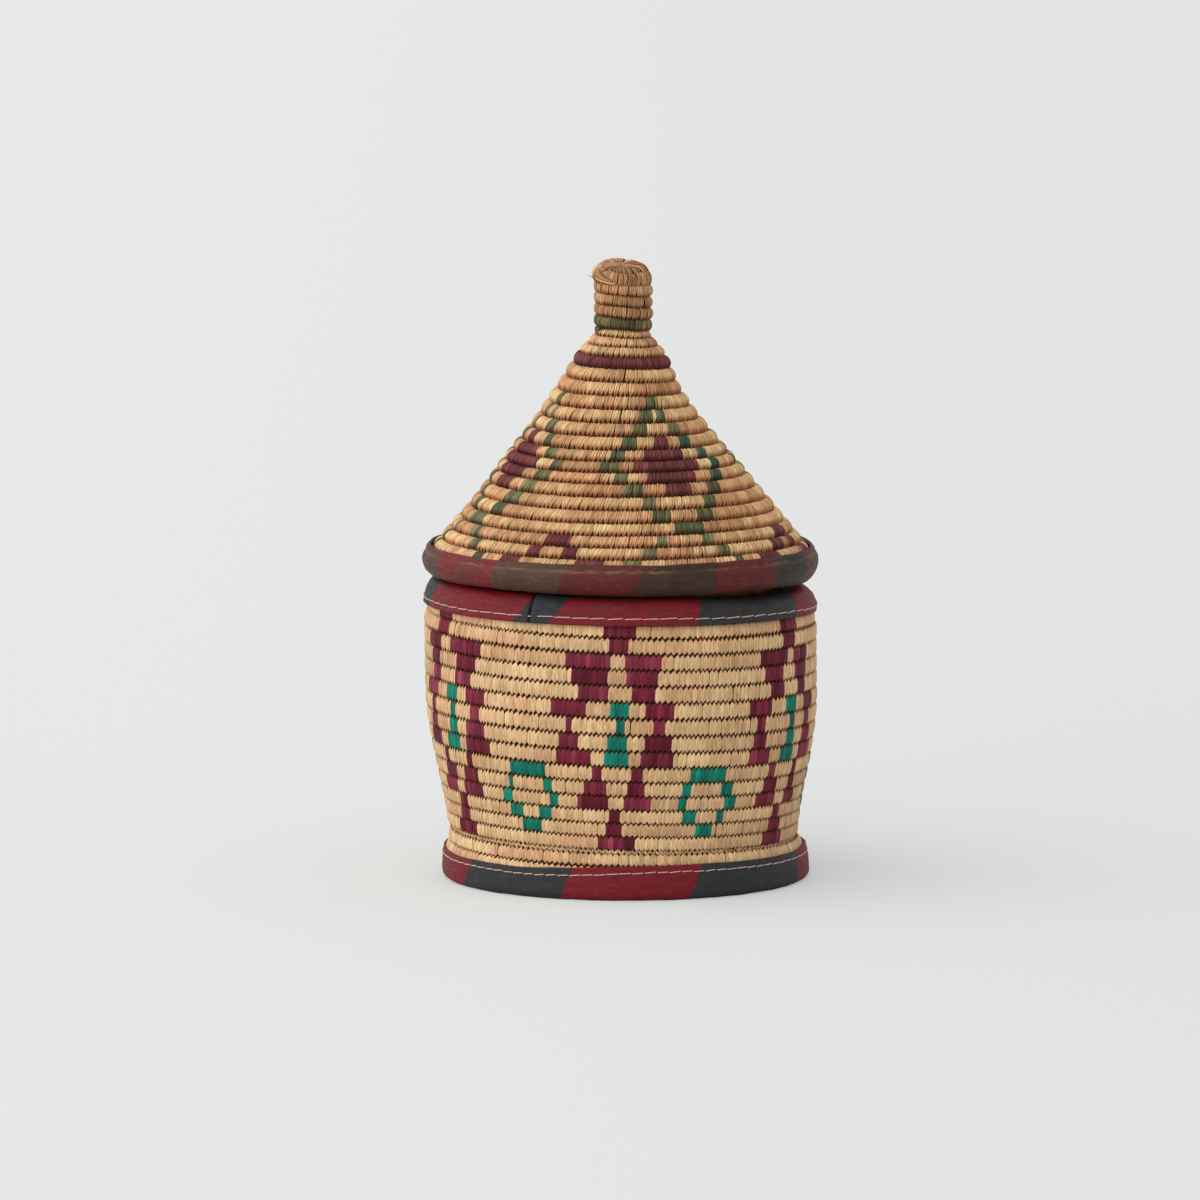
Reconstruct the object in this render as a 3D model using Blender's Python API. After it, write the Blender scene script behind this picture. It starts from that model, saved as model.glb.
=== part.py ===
"""A coiled straw basket on a foot ring, with a leather-bound mouth and a leather-bound cone lid.

Run it with blender --background --python part.py, or from Blender's text editor. Metres, +Z up,
the front of the basket faces -Y, and the origin is on the floor under the middle of the basket.

Every straw piece is one long coil whose rows are sewn edge to edge. The rows of the wall, the
foot and the lid climb clockwise seen from above, and the first and last row of each piece run
out in a wedge, so that both of its ends are level.
"""

import math

import bmesh
import bpy

# Straw
COIL_THICKNESS = 0.006  # of the wall, floor, foot and lid, from inside to outside
ROW_HEIGHT = 0.0062  # a row of the wall
FLOOR_ROW = 0.0061
FOOT_ROW = 0.0058
LID_ROW = 0.0059
GROOVE_DEPTH = 0.0012  # between two rows, on the outside
EYE_RADIUS = 0.002  # the hole that a coil starts around

# Leather and thread
LEATHER = 0.0012
THREAD_RADIUS = 0.00045
EDGE_ROUND = 0.003  # outside radius of the foot's lower edge
INNER_HEM = 0.0012  # how far a rolled strip hangs past the straw on the inside

# Basket
FOOT_RADIUS = 0.0736  # outside the foot's leather, at the floor
FOOT_HEIGHT = 0.0189
FOOT_BAND = 0.012  # the foot's leather, measured up from the floor
FOOT_INNER_BAND = 0.009
FOOT_THREAD_INSET = 0.002  # down from the leather's top edge
WAIST_RADIUS = 0.0692  # outside the lowest row
WAIST_HEIGHT = 0.012  # where the curve of the belly starts
BELLY_RADIUS = 0.0778
BELLY_HEIGHT = 0.075
MOUTH_RADIUS = 0.0778  # outside the mouth's leather
MOUTH_HEIGHT = 0.1179
MOUTH_ROLL = 0.0082  # outside radius of the rolled rim, leather included
MOUTH_BAND = 0.0099  # the mouth's leather, measured down from its top
MOUTH_DRAW_START = 0.1  # the wall draws in from here, to fit under the leather
MOUTH_THREAD_INSET = 0.0035  # up from the leather's lower edge

# Lid
LID_PROUD = 0.0006  # how far the lid's leather stands out past the mouth's
LID_ROLL = 0.008
LID_BAND = 0.0148  # the lid's leather, measured up from its lowest line
FLARE_ANGLE = math.radians(39)  # the cone's lean from upright, at its base
CONE_ANGLE = math.radians(29)  # and at its shoulder
SHOULDER_RADIUS = 0.0176
SHOULDER_HEIGHT = 0.2115
NECK_RADIUS = 0.0086
NECK_HEIGHT = 0.2204
COLLAR_THICKNESS = 0.005
COLLAR_ROW = 0.0054
COLLAR_DEPTH = 0.008  # below the top of the mouth
COLLAR_PLAY = 0.002  # to the mouth's leather, at the collar's lower edge

# Knob
KNOB_RADIUS = 0.0117
KNOB_TOP = 0.2475
KNOB_THICKNESS = 0.005
KNOB_ROW = 0.005
KNOB_SHOULDER = 0.0047  # outside radius where its side turns over to its top

# Fit and mesh
CLEARANCE = 0.0003  # between two pieces that touch
WEDGE = 0.0008  # height of a coil's cut end
SIDES = 24  # around the basket and the lid; every ring shares these angles
KNOB_SIDES = 12
SEAM_ANGLE = math.radians(-119.2)  # where each strip's two ends meet, left of the front
SEAM_GAP = 0.0004
BEND_STEP = math.radians(18)
CURVE_STEPS = 48
FOLD_TURN = math.radians(8)  # a leather strip has a fold line where its outline has turned by this
FOLD_LENGTH = 0.004  # or has run this far
FOLD_STEP = math.radians(45)  # a strip turns round the straw's edge in steps of this
SHARP_ANGLE = math.radians(40)

# Colours and roughness
STRAW = (0.55, 0.37, 0.2)
BROWN_STRAW = (0.45, 0.25, 0.13)
RED_LEATHER = (0.17, 0.016, 0.022)
WORN_LEATHER = (0.12, 0.03, 0.025)
CREAM = (0.75, 0.6, 0.5)
STRAW_ROUGHNESS = 0.85
LEATHER_ROUGHNESS = 0.5
THREAD_ROUGHNESS = 0.7

# Heights and radii that follow
FLOOR_BASE = FOOT_HEIGHT + CLEARANCE
WALL_BASE = FLOOR_BASE + COIL_THICKNESS + CLEARANCE
LID_BASE = MOUTH_HEIGHT + CLEARANCE
LID_RADIUS = MOUTH_RADIUS + LID_PROUD
HALF = COIL_THICKNESS / 2
SKIN = CLEARANCE + LEATHER


def smooth_step(value):
    """From 0 to 1 with a level start and end."""
    t = min(max(value, 0.0), 1.0)
    return t * t * (3 - 2 * t)


class Outline:
    """The middle of a wall as a line in radius and height, read by the length along it.

    A line that runs up has its outer side on its right, and side=-1 is for one that runs down.
    tip is the way that it points at its last point, where the last step alone would be a little off.
    """

    def __init__(self, points, side=1, tip=None):
        self.points = points
        self.side = side
        self.tip = tip
        self.lengths = [0.0]
        for (r0, z0), (r1, z1) in zip(points, points[1:]):
            self.lengths.append(self.lengths[-1] + math.hypot(r1 - r0, z1 - z0))
        self.length = self.lengths[-1]

    def step_at(self, s):
        for i in range(len(self.points) - 2):
            if s < self.lengths[i + 1]:
                return i
        return len(self.points) - 2

    def direction(self, i):
        """The way along the line at point i, as the mean of the steps beside it."""
        if self.tip and i == len(self.points) - 1:
            return self.tip
        r0, z0 = self.points[max(i - 1, 0)]
        r1, z1 = self.points[min(i + 1, len(self.points) - 1)]
        size = math.hypot(r1 - r0, z1 - z0)
        return (r1 - r0) / size, (z1 - z0) / size

    def frame(self, s):
        """Point, direction along and direction out, at length s."""
        i = self.step_at(s)
        t = (s - self.lengths[i]) / (self.lengths[i + 1] - self.lengths[i])
        (r0, z0), (r1, z1) = self.points[i], self.points[i + 1]
        (a0, b0), (a1, b1) = self.direction(i), self.direction(i + 1)
        along = (a0 + (a1 - a0) * t, b0 + (b1 - b0) * t)
        size = math.hypot(*along)
        along = (along[0] / size, along[1] / size)
        out = (along[1] * self.side, -along[0] * self.side)
        return (r0 + (r1 - r0) * t, z0 + (z1 - z0) * t), along, out

    def offset(self, s, out, ahead=0.0):
        """A point at length s, moved out from the wall and ahead along it."""
        (r, z), along, normal = self.frame(s)
        return r + normal[0] * out + along[0] * ahead, z + normal[1] * out + along[1] * ahead

    def stations(self, low, high):
        """Lengths from low to high, close together where the line bends."""
        kept = [low]
        for i, s in enumerate(self.lengths):
            if not low < s < high:
                continue
            along, last = self.direction(i), self.frame(kept[-1])[1]
            turned = math.acos(min(along[0] * last[0] + along[1] * last[1], 1.0))
            if turned >= FOLD_TURN or s - kept[-1] >= FOLD_LENGTH:
                kept.append(s)
        return [*kept, high]

    def length_at_height(self, height, out):
        """Where the line, moved out from the wall, passes a height, searched from its end."""
        heights = [self.offset(s, out)[1] for s in self.lengths]
        for i in range(len(heights) - 1, 0, -1):
            z0, z1 = heights[i - 1], heights[i]
            if min(z0, z1) <= height <= max(z0, z1) and z0 != z1:
                t = (height - z0) / (z1 - z0)
                return self.lengths[i - 1] + t * (self.lengths[i] - self.lengths[i - 1])
        return 0.0


def arc(centre, radius, start, end):
    steps = max(1, round(abs(end - start) / BEND_STEP))
    turn = (end - start) / steps
    return [
        (centre[0] + radius * math.cos(start + turn * i), centre[1] + radius * math.sin(start + turn * i))
        for i in range(steps + 1)
    ]


def cubic(p0, p1, p2, p3, steps=CURVE_STEPS):
    points = []
    for i in range(steps + 1):
        t = i / steps
        weights = ((1 - t) ** 3, 3 * t * (1 - t) ** 2, 3 * t * t * (1 - t), t**3)
        points.append(tuple(sum(w * p[k] for w, p in zip(weights, (p0, p1, p2, p3))) for k in (0, 1)))
    return points


def ring_point(r, z, angle):
    return (r * math.cos(angle), r * math.sin(angle), z)


def new_object(name, vertices, faces, colour, roughness):
    mesh = bpy.data.meshes.new(name)
    mesh.from_pydata(vertices, [], faces)
    work = bmesh.new()
    work.from_mesh(mesh)
    bmesh.ops.recalc_face_normals(work, faces=work.faces)
    work.to_mesh(mesh)
    work.free()
    mesh.shade_smooth()
    mesh.set_sharp_from_angle(angle=SHARP_ANGLE)
    material = bpy.data.materials.new(name)
    material.use_nodes = True
    shader = material.node_tree.nodes["Principled BSDF"]
    shader.inputs["Base Color"].default_value = (*colour, 1.0)
    shader.inputs["Roughness"].default_value = roughness
    shader.inputs["Metallic"].default_value = 0.0
    mesh.materials.append(material)
    piece = bpy.data.objects.new(name, mesh)
    bpy.context.scene.collection.objects.link(piece)
    return piece


class Coil:
    """One coil sewn into a wall: the lower edge of each row is the upper edge of the row before it."""

    def __init__(self, outline, row, thickness, sides, crests):
        self.outline = outline
        self.sides = sides
        self.half = thickness / 2
        self.crests = crests
        rows = max(2, round(outline.length / row))
        self.pitch = outline.length / rows
        self.steps = (rows + 1) * sides
        self.vertices = []
        self.faces = []

    def edge(self, i):
        """Length along the outline of the edge below step i, level for the first and the last turn."""
        low = 0.0 if i < self.sides else WEDGE
        high = self.outline.length - (0.0 if i > self.steps else WEDGE)
        return min(max(self.pitch * (i - self.sides) / self.sides, low), high)

    def put(self, i, s, out):
        r, z = self.outline.offset(s, out)
        angle = SEAM_ANGLE - self.outline.side * 2 * math.pi * i / self.sides
        self.vertices.append(ring_point(r, z, angle))
        return len(self.vertices) - 1

    def crest_points(self, i, low, high):
        """The outside of a row between its two grooves, flatter where the row runs out."""
        out = self.half - GROOVE_DEPTH * (1 - min((high - low) / self.pitch, 1.0))
        return [self.put(i, low + (high - low) * t, out) for t in self.crests]

    def build(self):
        last = self.steps + self.sides
        lengths = [self.edge(i) for i in range(last + 1)]
        outer = [self.put(i, s, self.half - GROOVE_DEPTH) for i, s in enumerate(lengths)]
        inner = [self.put(i, s, -self.half) for i, s in enumerate(lengths)]
        crests = [self.crest_points(i, lengths[i], lengths[i + self.sides]) for i in range(self.steps + 1)]
        self.side_faces(outer, crests)
        self.side_faces(inner, [[] for _ in crests])
        for i in [*range(self.sides), *range(self.steps, last)]:
            self.faces.append((outer[i], inner[i], inner[i + 1], outer[i + 1]))
        for i in (0, self.steps):
            j = i + self.sides
            self.faces.append((outer[i], *crests[i], outer[j], inner[j], inner[i]))
        return self.vertices, self.faces

    def side_faces(self, edges, crests):
        for i in range(self.steps):
            here = [edges[i], *crests[i], edges[i + self.sides]]
            there = [edges[i + 1], *crests[i + 1], edges[i + 1 + self.sides]]
            for k in range(len(here) - 1):
                self.faces.append((here[k], there[k], there[k + 1], here[k + 1]))


def coil_piece(name, outline, row, colour, thickness=COIL_THICKNESS, sides=SIDES, crests=(0.25, 0.75)):
    vertices, faces = Coil(outline, row, thickness, sides, crests).build()
    return new_object(name, vertices, faces, colour, STRAW_ROUGHNESS)


class Strip:
    """A leather strip folded round the last row of a coil, as a closed section in radius and height.

    core is the radius of the straw under the fold at the end of its outer side.
    """

    def __init__(self, outline, start, core=0.0):
        self.outline = outline
        self.near = []
        self.far = []
        self.flank(1, start, outline.length - core)
        self.corner(1, core, (1, 2))

    def add(self, s, out, ahead, way, reach=0.0):
        """Two points, under and over the leather, the way given as shares of outwards and ahead."""
        for side, distance in ((self.near, CLEARANCE), (self.far, SKIN)):
            size = reach + distance
            side.append(self.outline.offset(s, out + way[0] * size, ahead + way[1] * size))

    def flank(self, side, start, stop):
        """Along the outer side of the straw (1) or its inner one (-1), from one length to another."""
        lengths = self.outline.stations(min(start, stop), max(start, stop))
        for s in lengths if start < stop else reversed(lengths):
            self.add(s, side * HALF, 0.0, (side, 0))

    def corner(self, side, core, steps):
        """The fold beside the end of the straw, on its outer side (1) or its inner one (-1)."""
        for i in steps:
            angle = FOLD_STEP * i
            way = (side * math.cos(angle), math.sin(angle))
            self.add(self.outline.length, side * (HALF - core), -core, way, core)

    def hang(self, hem):
        """The strip runs straight on past the end of the straw."""
        self.add(self.outline.length, -(HALF + hem), 0.0, (0, 1))
        return self.near + self.far[::-1]

    def inner_side(self, width):
        """The strip folds round the straw's end and back along its inner side."""
        self.corner(-1, 0.0, (2, 1))
        self.flank(-1, self.outline.length, self.outline.length - width)
        return self.near + self.far[::-1]


def spin_strip(name, section, colour):
    """Sweeps a closed section once round the axis, with a narrow seam where its ends meet."""
    count = len(section)
    half_seam = SEAM_GAP / max(r for r, _ in section) / 2
    vertices, faces = [], []
    for i in range(SIDES + 1):
        turn = min(max(2 * math.pi * i / SIDES, half_seam), 2 * math.pi - half_seam)
        vertices += [ring_point(r, z, SEAM_ANGLE - turn) for r, z in section]
    for i in range(SIDES):
        for k in range(count):
            a, b = i * count + k, i * count + (k + 1) % count
            faces.append((a, b, b + count, a + count))
    for first in (0, SIDES * count):
        for k in range(count // 2 - 1):
            near, far = first + k, first + count - 1 - k
            faces.append((near, near + 1, far - 1, far))
    return new_object(name, vertices, faces, colour, LEATHER_ROUGHNESS)


def thread_ring(name, outline, s, colour):
    """A thread laid on the leather, as a ring whose square section stands on its corner."""
    middle = HALF + SKIN + CLEARANCE + THREAD_RADIUS
    corners = ((THREAD_RADIUS, 0), (0, THREAD_RADIUS), (-THREAD_RADIUS, 0), (0, -THREAD_RADIUS))
    section = [outline.offset(s, middle + out, ahead) for out, ahead in corners]
    count = len(section)
    vertices, faces = [], []
    for i in range(SIDES):
        vertices += [ring_point(r, z, SEAM_ANGLE - 2 * math.pi * i / SIDES) for r, z in section]
    for i in range(SIDES):
        here, there = i * count, (i + 1) % SIDES * count
        for k in range(count):
            after = (k + 1) % count
            faces.append((here + k, here + after, there + after, there + k))
    return new_object(name, vertices, faces, colour, THREAD_ROUGHNESS)


def floor_outline():
    """From the eye at the middle of the floor out to the waist."""
    height = FLOOR_BASE + HALF
    return Outline([(EYE_RADIUS, height), (WAIST_RADIUS, height)], side=-1)


def wall_radius(height):
    """Outside the wall's rows at a height: out from the waist to the belly, then in under the leather."""
    swell = smooth_step((height - WAIST_HEIGHT) / (BELLY_HEIGHT - WAIST_HEIGHT))
    drawn = smooth_step((height - MOUTH_DRAW_START) / (MOUTH_HEIGHT - MOUTH_ROLL - MOUTH_DRAW_START))
    free = WAIST_RADIUS + (BELLY_RADIUS - WAIST_RADIUS) * swell
    return free + (MOUTH_RADIUS - SKIN - free) * drawn


def wall_outline():
    """From the floor up to the mouth, where the last row rolls inwards."""
    roll_centre = (MOUTH_RADIUS - MOUTH_ROLL, MOUTH_HEIGHT - MOUTH_ROLL)
    lean = math.atan2(wall_radius(WALL_BASE + ROW_HEIGHT) - wall_radius(WALL_BASE), ROW_HEIGHT)
    base = WALL_BASE + HALF * math.sin(lean)
    heights = [base + (roll_centre[1] - base) * i / CURVE_STEPS for i in range(CURVE_STEPS)]
    side = [(wall_radius(h) - HALF, h) for h in heights]
    return Outline(side + arc(roll_centre, MOUTH_ROLL - SKIN - HALF, 0, math.pi / 2), tip=(-1, 0))


def foot_outline():
    """From the waist down to the floor, flaring to the foot's radius."""
    top, bottom = (WAIST_RADIUS - HALF, FOOT_HEIGHT), (FOOT_RADIUS - SKIN - HALF, SKIN)
    points = []
    for i in range(CURVE_STEPS + 1):
        t = i / CURVE_STEPS
        points.append((top[0] + (bottom[0] - top[0]) * smooth_step(t), top[1] + (bottom[1] - top[1]) * t))
    return Outline(points, side=-1, tip=(0, -1))


def lid_outline():
    """From the neck down the cone, over the rim and inwards under it."""
    roll_centre = (LID_RADIUS - LID_ROLL, LID_BASE + LID_ROLL)
    rim = arc(roll_centre, LID_ROLL - SKIN - HALF, FLARE_ANGLE, -math.pi / 2)
    shoulder = (SHOULDER_RADIUS - HALF * math.cos(CONE_ANGLE), SHOULDER_HEIGHT - HALF * math.sin(CONE_ANGLE))
    lean = math.atan2(SHOULDER_RADIUS - NECK_RADIUS, NECK_HEIGHT - SHOULDER_HEIGHT)
    edge = HALF - GROOVE_DEPTH
    neck = (NECK_RADIUS - edge * math.cos(lean), NECK_HEIGHT - edge * math.sin(lean))
    handle = math.dist(shoulder, rim[0]) / 3
    after = (shoulder[0] + handle * math.sin(CONE_ANGLE), shoulder[1] - handle * math.cos(CONE_ANGLE))
    before = (rim[0][0] - handle * math.sin(FLARE_ANGLE), rim[0][1] + handle * math.cos(FLARE_ANGLE))
    return Outline([neck, *cubic(shoulder, after, before, rim[0]), *rim[1:]], side=-1, tip=(-1, 0))


def collar_outline():
    """Up the ring inside the lid, from its edge in the mouth to its seat on the lid's leather."""
    half = COLLAR_THICKNESS / 2
    low = MOUTH_RADIUS - MOUTH_ROLL - SKIN - COLLAR_PLAY - half
    top = LID_RADIUS - LID_ROLL - SKIN - CLEARANCE - half
    return Outline([(low, MOUTH_HEIGHT - COLLAR_DEPTH), (top, LID_BASE + LID_ROLL)])


def knob_outline():
    """Up the knob's side and over its top to the eye."""
    half = KNOB_THICKNESS / 2
    centre = (KNOB_RADIUS - KNOB_SHOULDER, KNOB_TOP - KNOB_SHOULDER)
    bend = arc(centre, KNOB_SHOULDER - half, 0, math.pi / 2)
    foot = (KNOB_RADIUS - half, NECK_HEIGHT + CLEARANCE)
    return Outline([foot, *bend, (EYE_RADIUS, KNOB_TOP - half)])


def straw_of_basket():
    coil_piece("floor_coil", floor_outline(), FLOOR_ROW, STRAW, crests=(0.5,))
    coil_piece("wall_coil", wall_outline(), ROW_HEIGHT, STRAW)
    coil_piece("foot_coil", foot_outline(), FOOT_ROW, STRAW)


def leather_of_basket():
    wall, foot = wall_outline(), foot_outline()
    mouth_start = wall.length_at_height(MOUTH_HEIGHT - MOUTH_BAND, HALF + SKIN)
    spin_strip("mouth_binding", Strip(wall, mouth_start).hang(INNER_HEM), RED_LEATHER)
    thread_ring("mouth_thread", wall, mouth_start + MOUTH_THREAD_INSET, CREAM)
    foot_start = foot.length_at_height(FOOT_BAND, HALF + SKIN)
    foot_strip = Strip(foot, foot_start, core=EDGE_ROUND - SKIN)
    spin_strip("foot_binding", foot_strip.inner_side(FOOT_INNER_BAND), RED_LEATHER)
    thread_ring("foot_thread", foot, foot_start + FOOT_THREAD_INSET, CREAM)


def lid_pieces():
    outline = lid_outline()
    start = outline.length_at_height(LID_BASE + LID_BAND, HALF + SKIN)
    return [
        coil_piece("lid_coil", outline, LID_ROW, BROWN_STRAW),
        coil_piece("knob_coil", knob_outline(), KNOB_ROW, BROWN_STRAW, KNOB_THICKNESS, KNOB_SIDES),
        coil_piece("lid_collar", collar_outline(), COLLAR_ROW, STRAW, COLLAR_THICKNESS),
        spin_strip("lid_binding", Strip(outline, start).hang(INNER_HEM), WORN_LEATHER),
    ]


def put_on_lift(pieces):
    """The lid's pieces hang from one point on the axis that the lid lifts along."""
    lift = bpy.data.objects.new("lid_lift", None)
    lift.location = (0, 0, LID_BASE)
    bpy.context.scene.collection.objects.link(lift)
    for piece in pieces:
        for vertex in piece.data.vertices:
            vertex.co.z -= LID_BASE
        piece.parent = lift


def main():
    for old in list(bpy.data.objects):
        bpy.data.objects.remove(old)
    straw_of_basket()
    leather_of_basket()
    put_on_lift(lid_pieces())


main()
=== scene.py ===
# %% [markdown]
# A coiled basket with a cone lid, in Blender
#
# The real basket has no frame. A bundle of grass is laid in a spiral, and a split palm leaf is wound
# round it again and again. Every turn of the leaf also goes through the row before, and that one
# stitch holds the whole basket together. Some leaves are dyed, and the maker changes to a dyed leaf
# and back while the rows climb, so that the figures grow stitch by stitch.
#
# The script follows the same order. It finds a place for each stitch along the coil, picks the leaf
# for that place, and lets Geometry Nodes sew the stitches on. Lengths are in millimetres, and angles
# are in degrees from the front, positive to the right.

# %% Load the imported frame
import copy
import math

import bmesh
import bpy
import numpy as np
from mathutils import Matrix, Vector


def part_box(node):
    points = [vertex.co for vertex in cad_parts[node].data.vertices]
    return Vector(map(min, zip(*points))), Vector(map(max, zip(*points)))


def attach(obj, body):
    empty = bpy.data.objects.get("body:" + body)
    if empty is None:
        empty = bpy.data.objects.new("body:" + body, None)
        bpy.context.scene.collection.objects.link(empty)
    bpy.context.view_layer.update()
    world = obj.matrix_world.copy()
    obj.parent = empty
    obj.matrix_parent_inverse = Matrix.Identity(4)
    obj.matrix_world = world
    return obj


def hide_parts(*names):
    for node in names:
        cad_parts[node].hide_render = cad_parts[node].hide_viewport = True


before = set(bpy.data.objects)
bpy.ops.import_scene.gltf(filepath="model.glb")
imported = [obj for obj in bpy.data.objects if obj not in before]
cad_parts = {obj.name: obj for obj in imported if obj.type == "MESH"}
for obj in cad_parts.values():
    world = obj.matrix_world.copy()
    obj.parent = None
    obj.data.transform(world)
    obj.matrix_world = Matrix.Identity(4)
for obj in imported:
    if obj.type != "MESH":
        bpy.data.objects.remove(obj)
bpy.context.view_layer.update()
MM = 0.001


def heights_of(node):
    """Lowest and highest point of a CAD node, in mm."""
    low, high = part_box(node)
    return low.z / MM, high.z / MM


FLOOR_LOW = heights_of("floor_coil")[0]
MOUTH_LOW, MOUTH_HIGH = heights_of("mouth_binding")
LID_LOW, LID_BINDING_HIGH = heights_of("lid_binding")
NECK_HIGH = heights_of("lid_coil")[1]
KNOB_HIGH = heights_of("knob_coil")[1]
print("mouth", round(MOUTH_HIGH, 1), "lid from", round(LID_LOW, 1), "knob top", round(KNOB_HIGH, 1))

# %% [markdown]
# Camera, floor and light
#
# The picture is taken with a long lens from a little above the basket, so upright lines stay upright
# and the rows look like flat ellipses. One wide sun from the upper left stands for a large soft lamp,
# and a pale sky fills the shadows. A sun lights the whole floor alike, which an area lamp would not.

# %% Camera
CAMERA_DISTANCE = 4500.0
CAMERA_PITCH = math.radians(7)
LENS = 337.5
TARGET = (-8.8, 0.0, 111.0)  # the basket stands a little right of the middle of the picture


def put_in_scene(name, data):
    holder = bpy.data.objects.new(name, data)
    bpy.context.scene.collection.objects.link(holder)
    return holder


camera = put_in_scene("camera", bpy.data.cameras.new("camera"))
camera.data.lens = LENS
camera.data.clip_end = 100.0
camera.location = (
    TARGET[0] * MM,
    -CAMERA_DISTANCE * math.cos(CAMERA_PITCH) * MM,
    (TARGET[2] + CAMERA_DISTANCE * math.sin(CAMERA_PITCH)) * MM,
)
camera.rotation_euler = (math.pi / 2 - CAMERA_PITCH, 0, 0)
bpy.context.scene.camera = camera
bpy.context.scene.view_settings.view_transform = "Standard"
print("camera", CAMERA_DISTANCE, "mm away")

# %% Light
KEY_STRENGTH = 1.84
KEY_SOFTNESS = 110  # how wide the sun looks, in degrees
KEY_DIRECTION = (0.9, 0.47, -0.62)
FILL_STRENGTH = 0.64
FILL_COLOUR = (0.985, 1.0, 0.99, 1.0)

key = put_in_scene("key", bpy.data.lights.new("key", "SUN"))
key.data.energy = KEY_STRENGTH
key.data.angle = math.radians(KEY_SOFTNESS)
key.rotation_euler = Vector(KEY_DIRECTION).to_track_quat("-Z", "Y").to_euler()

world = bpy.data.worlds.new("sky")
bpy.context.scene.world = world
world.use_nodes = True
sky = world.node_tree.nodes["Background"]
sky.inputs["Color"].default_value = FILL_COLOUR
sky.inputs["Strength"].default_value = FILL_STRENGTH
print("sun", KEY_STRENGTH, "and sky", FILL_STRENGTH)


# %% [markdown]
# Small helpers for materials
#
# A material is a chain of nodes, and most chains here start with the same steps: read an attribute,
# make noise, blend two colours. A short class keeps those steps to one line each.

# %% Node helpers
class Nodes:
    """Adds nodes to a material and joins them, so that each finish reads as a recipe."""

    def __init__(self, name):
        self.material = bpy.data.materials.new(name)
        self.material.use_nodes = True
        self.tree = self.material.node_tree
        self.shader = self.tree.nodes["Principled BSDF"]

    def join(self, source, socket):
        if isinstance(source, (int, float)):
            socket.default_value = source
        elif isinstance(source, tuple):
            socket.default_value = (*source, 1.0) if len(socket.default_value) == 4 else source
        else:
            self.tree.links.new(source, socket)

    def add(self, kind, sources=(), **settings):
        """A new node whose first sockets get the sources."""
        node = self.tree.nodes.new("ShaderNode" + kind)
        for key, value in settings.items():
            setattr(node, key, value)
        for source, socket in zip(sources, node.inputs):
            self.join(source, socket)
        return node

    def attribute(self, name, output="Fac"):
        return self.add("Attribute", attribute_name=name).outputs[output]

    def place(self, scale=(1.0, 1.0, 1.0)):
        """Object coordinates in mm, stretched by scale."""
        mapping = self.add("Mapping", [self.add("TexCoord").outputs["Object"]])
        mapping.inputs["Scale"].default_value = tuple(s / MM for s in scale)
        return mapping.outputs["Vector"]

    def noise(self, vector, scale, detail=3.0, roughness=0.55):
        node = self.add("TexNoise", [vector])
        node.inputs["Scale"].default_value = scale
        node.inputs["Detail"].default_value = detail
        node.inputs["Roughness"].default_value = roughness
        return node.outputs["Fac"]

    def cells(self, vector, scale):
        node = self.add("TexVoronoi", [vector])
        node.inputs["Scale"].default_value = scale
        return node.outputs["Distance"]

    def times(self, a, b):
        return self.add("Math", (a, b), operation="MULTIPLY").outputs[0]

    def plus(self, a, b):
        return self.add("Math", (a, b), operation="ADD").outputs[0]

    def larger(self, a, b):
        return self.add("Math", (a, b), operation="MAXIMUM").outputs[0]

    def away(self, a, b):
        """How far a is from b."""
        difference = self.add("Math", (a, b), operation="SUBTRACT").outputs[0]
        return self.add("Math", (difference,), operation="ABSOLUTE").outputs[0]

    def combine(self, x, y, z):
        return self.add("CombineXYZ", (x, y, z)).outputs[0]

    def split(self, vector):
        return self.add("SeparateXYZ", [vector]).outputs

    def span(self, value, low, high, to_low=0.0, to_high=1.0):
        """Goes from to_low to to_high while the value goes from low to high."""
        sources = (value, low, high, to_low, to_high)
        return self.add("MapRange", sources, interpolation_type="SMOOTHSTEP").outputs["Result"]

    def mix(self, factor, a, b, blend="MIX"):
        node = self.add("Mix", data_type="RGBA", blend_type=blend, clamp_factor=True)
        for value, socket in zip((factor, a, b), (node.inputs[0], node.inputs[6], node.inputs[7])):
            self.join(value, socket)
        return node.outputs[2]

    def tint(self, colour, by):
        return self.mix(1.0, colour, by, "MULTIPLY")

    def paint(self, colour, roughness, gloss=0.5):
        for key, value in (("Base Color", colour), ("Roughness", roughness), ("Specular IOR Level", gloss)):
            self.join(value, self.shader.inputs[key])

    def bump(self, height, distance, strength=1.0):
        """Relief whose full height is distance, in mm."""
        node = self.add("Bump")
        node.inputs["Strength"].default_value = strength
        node.inputs["Distance"].default_value = distance * MM
        self.join(height, node.inputs["Height"])
        self.join(node.outputs["Normal"], self.shader.inputs["Normal"])


def linear(*screen):
    """A colour picked as 0 to 255 screen values, as Blender's linear light."""
    return tuple(((c / 255 + 0.055) / 1.055) ** 2.4 if c > 10 else c / 255 / 12.92 for c in screen)


# %% Floor
FLOOR_SIZE = 30.0
FLOOR_GLOW = 0.42  # share of the floor's paleness that the camera sees without the lamps
# the floor is painted lighter at the left and darker at the right, as painted light from the sun at the
# left
FLOOR_LEFT, FLOOR_RIGHT = linear(232, 234, 233), linear(227, 229, 228)
FLOOR_IN_REFLECTIONS = linear(212, 212, 210)
PICTURE_HALF = 260  # mm from the middle of the picture to its sides

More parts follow.
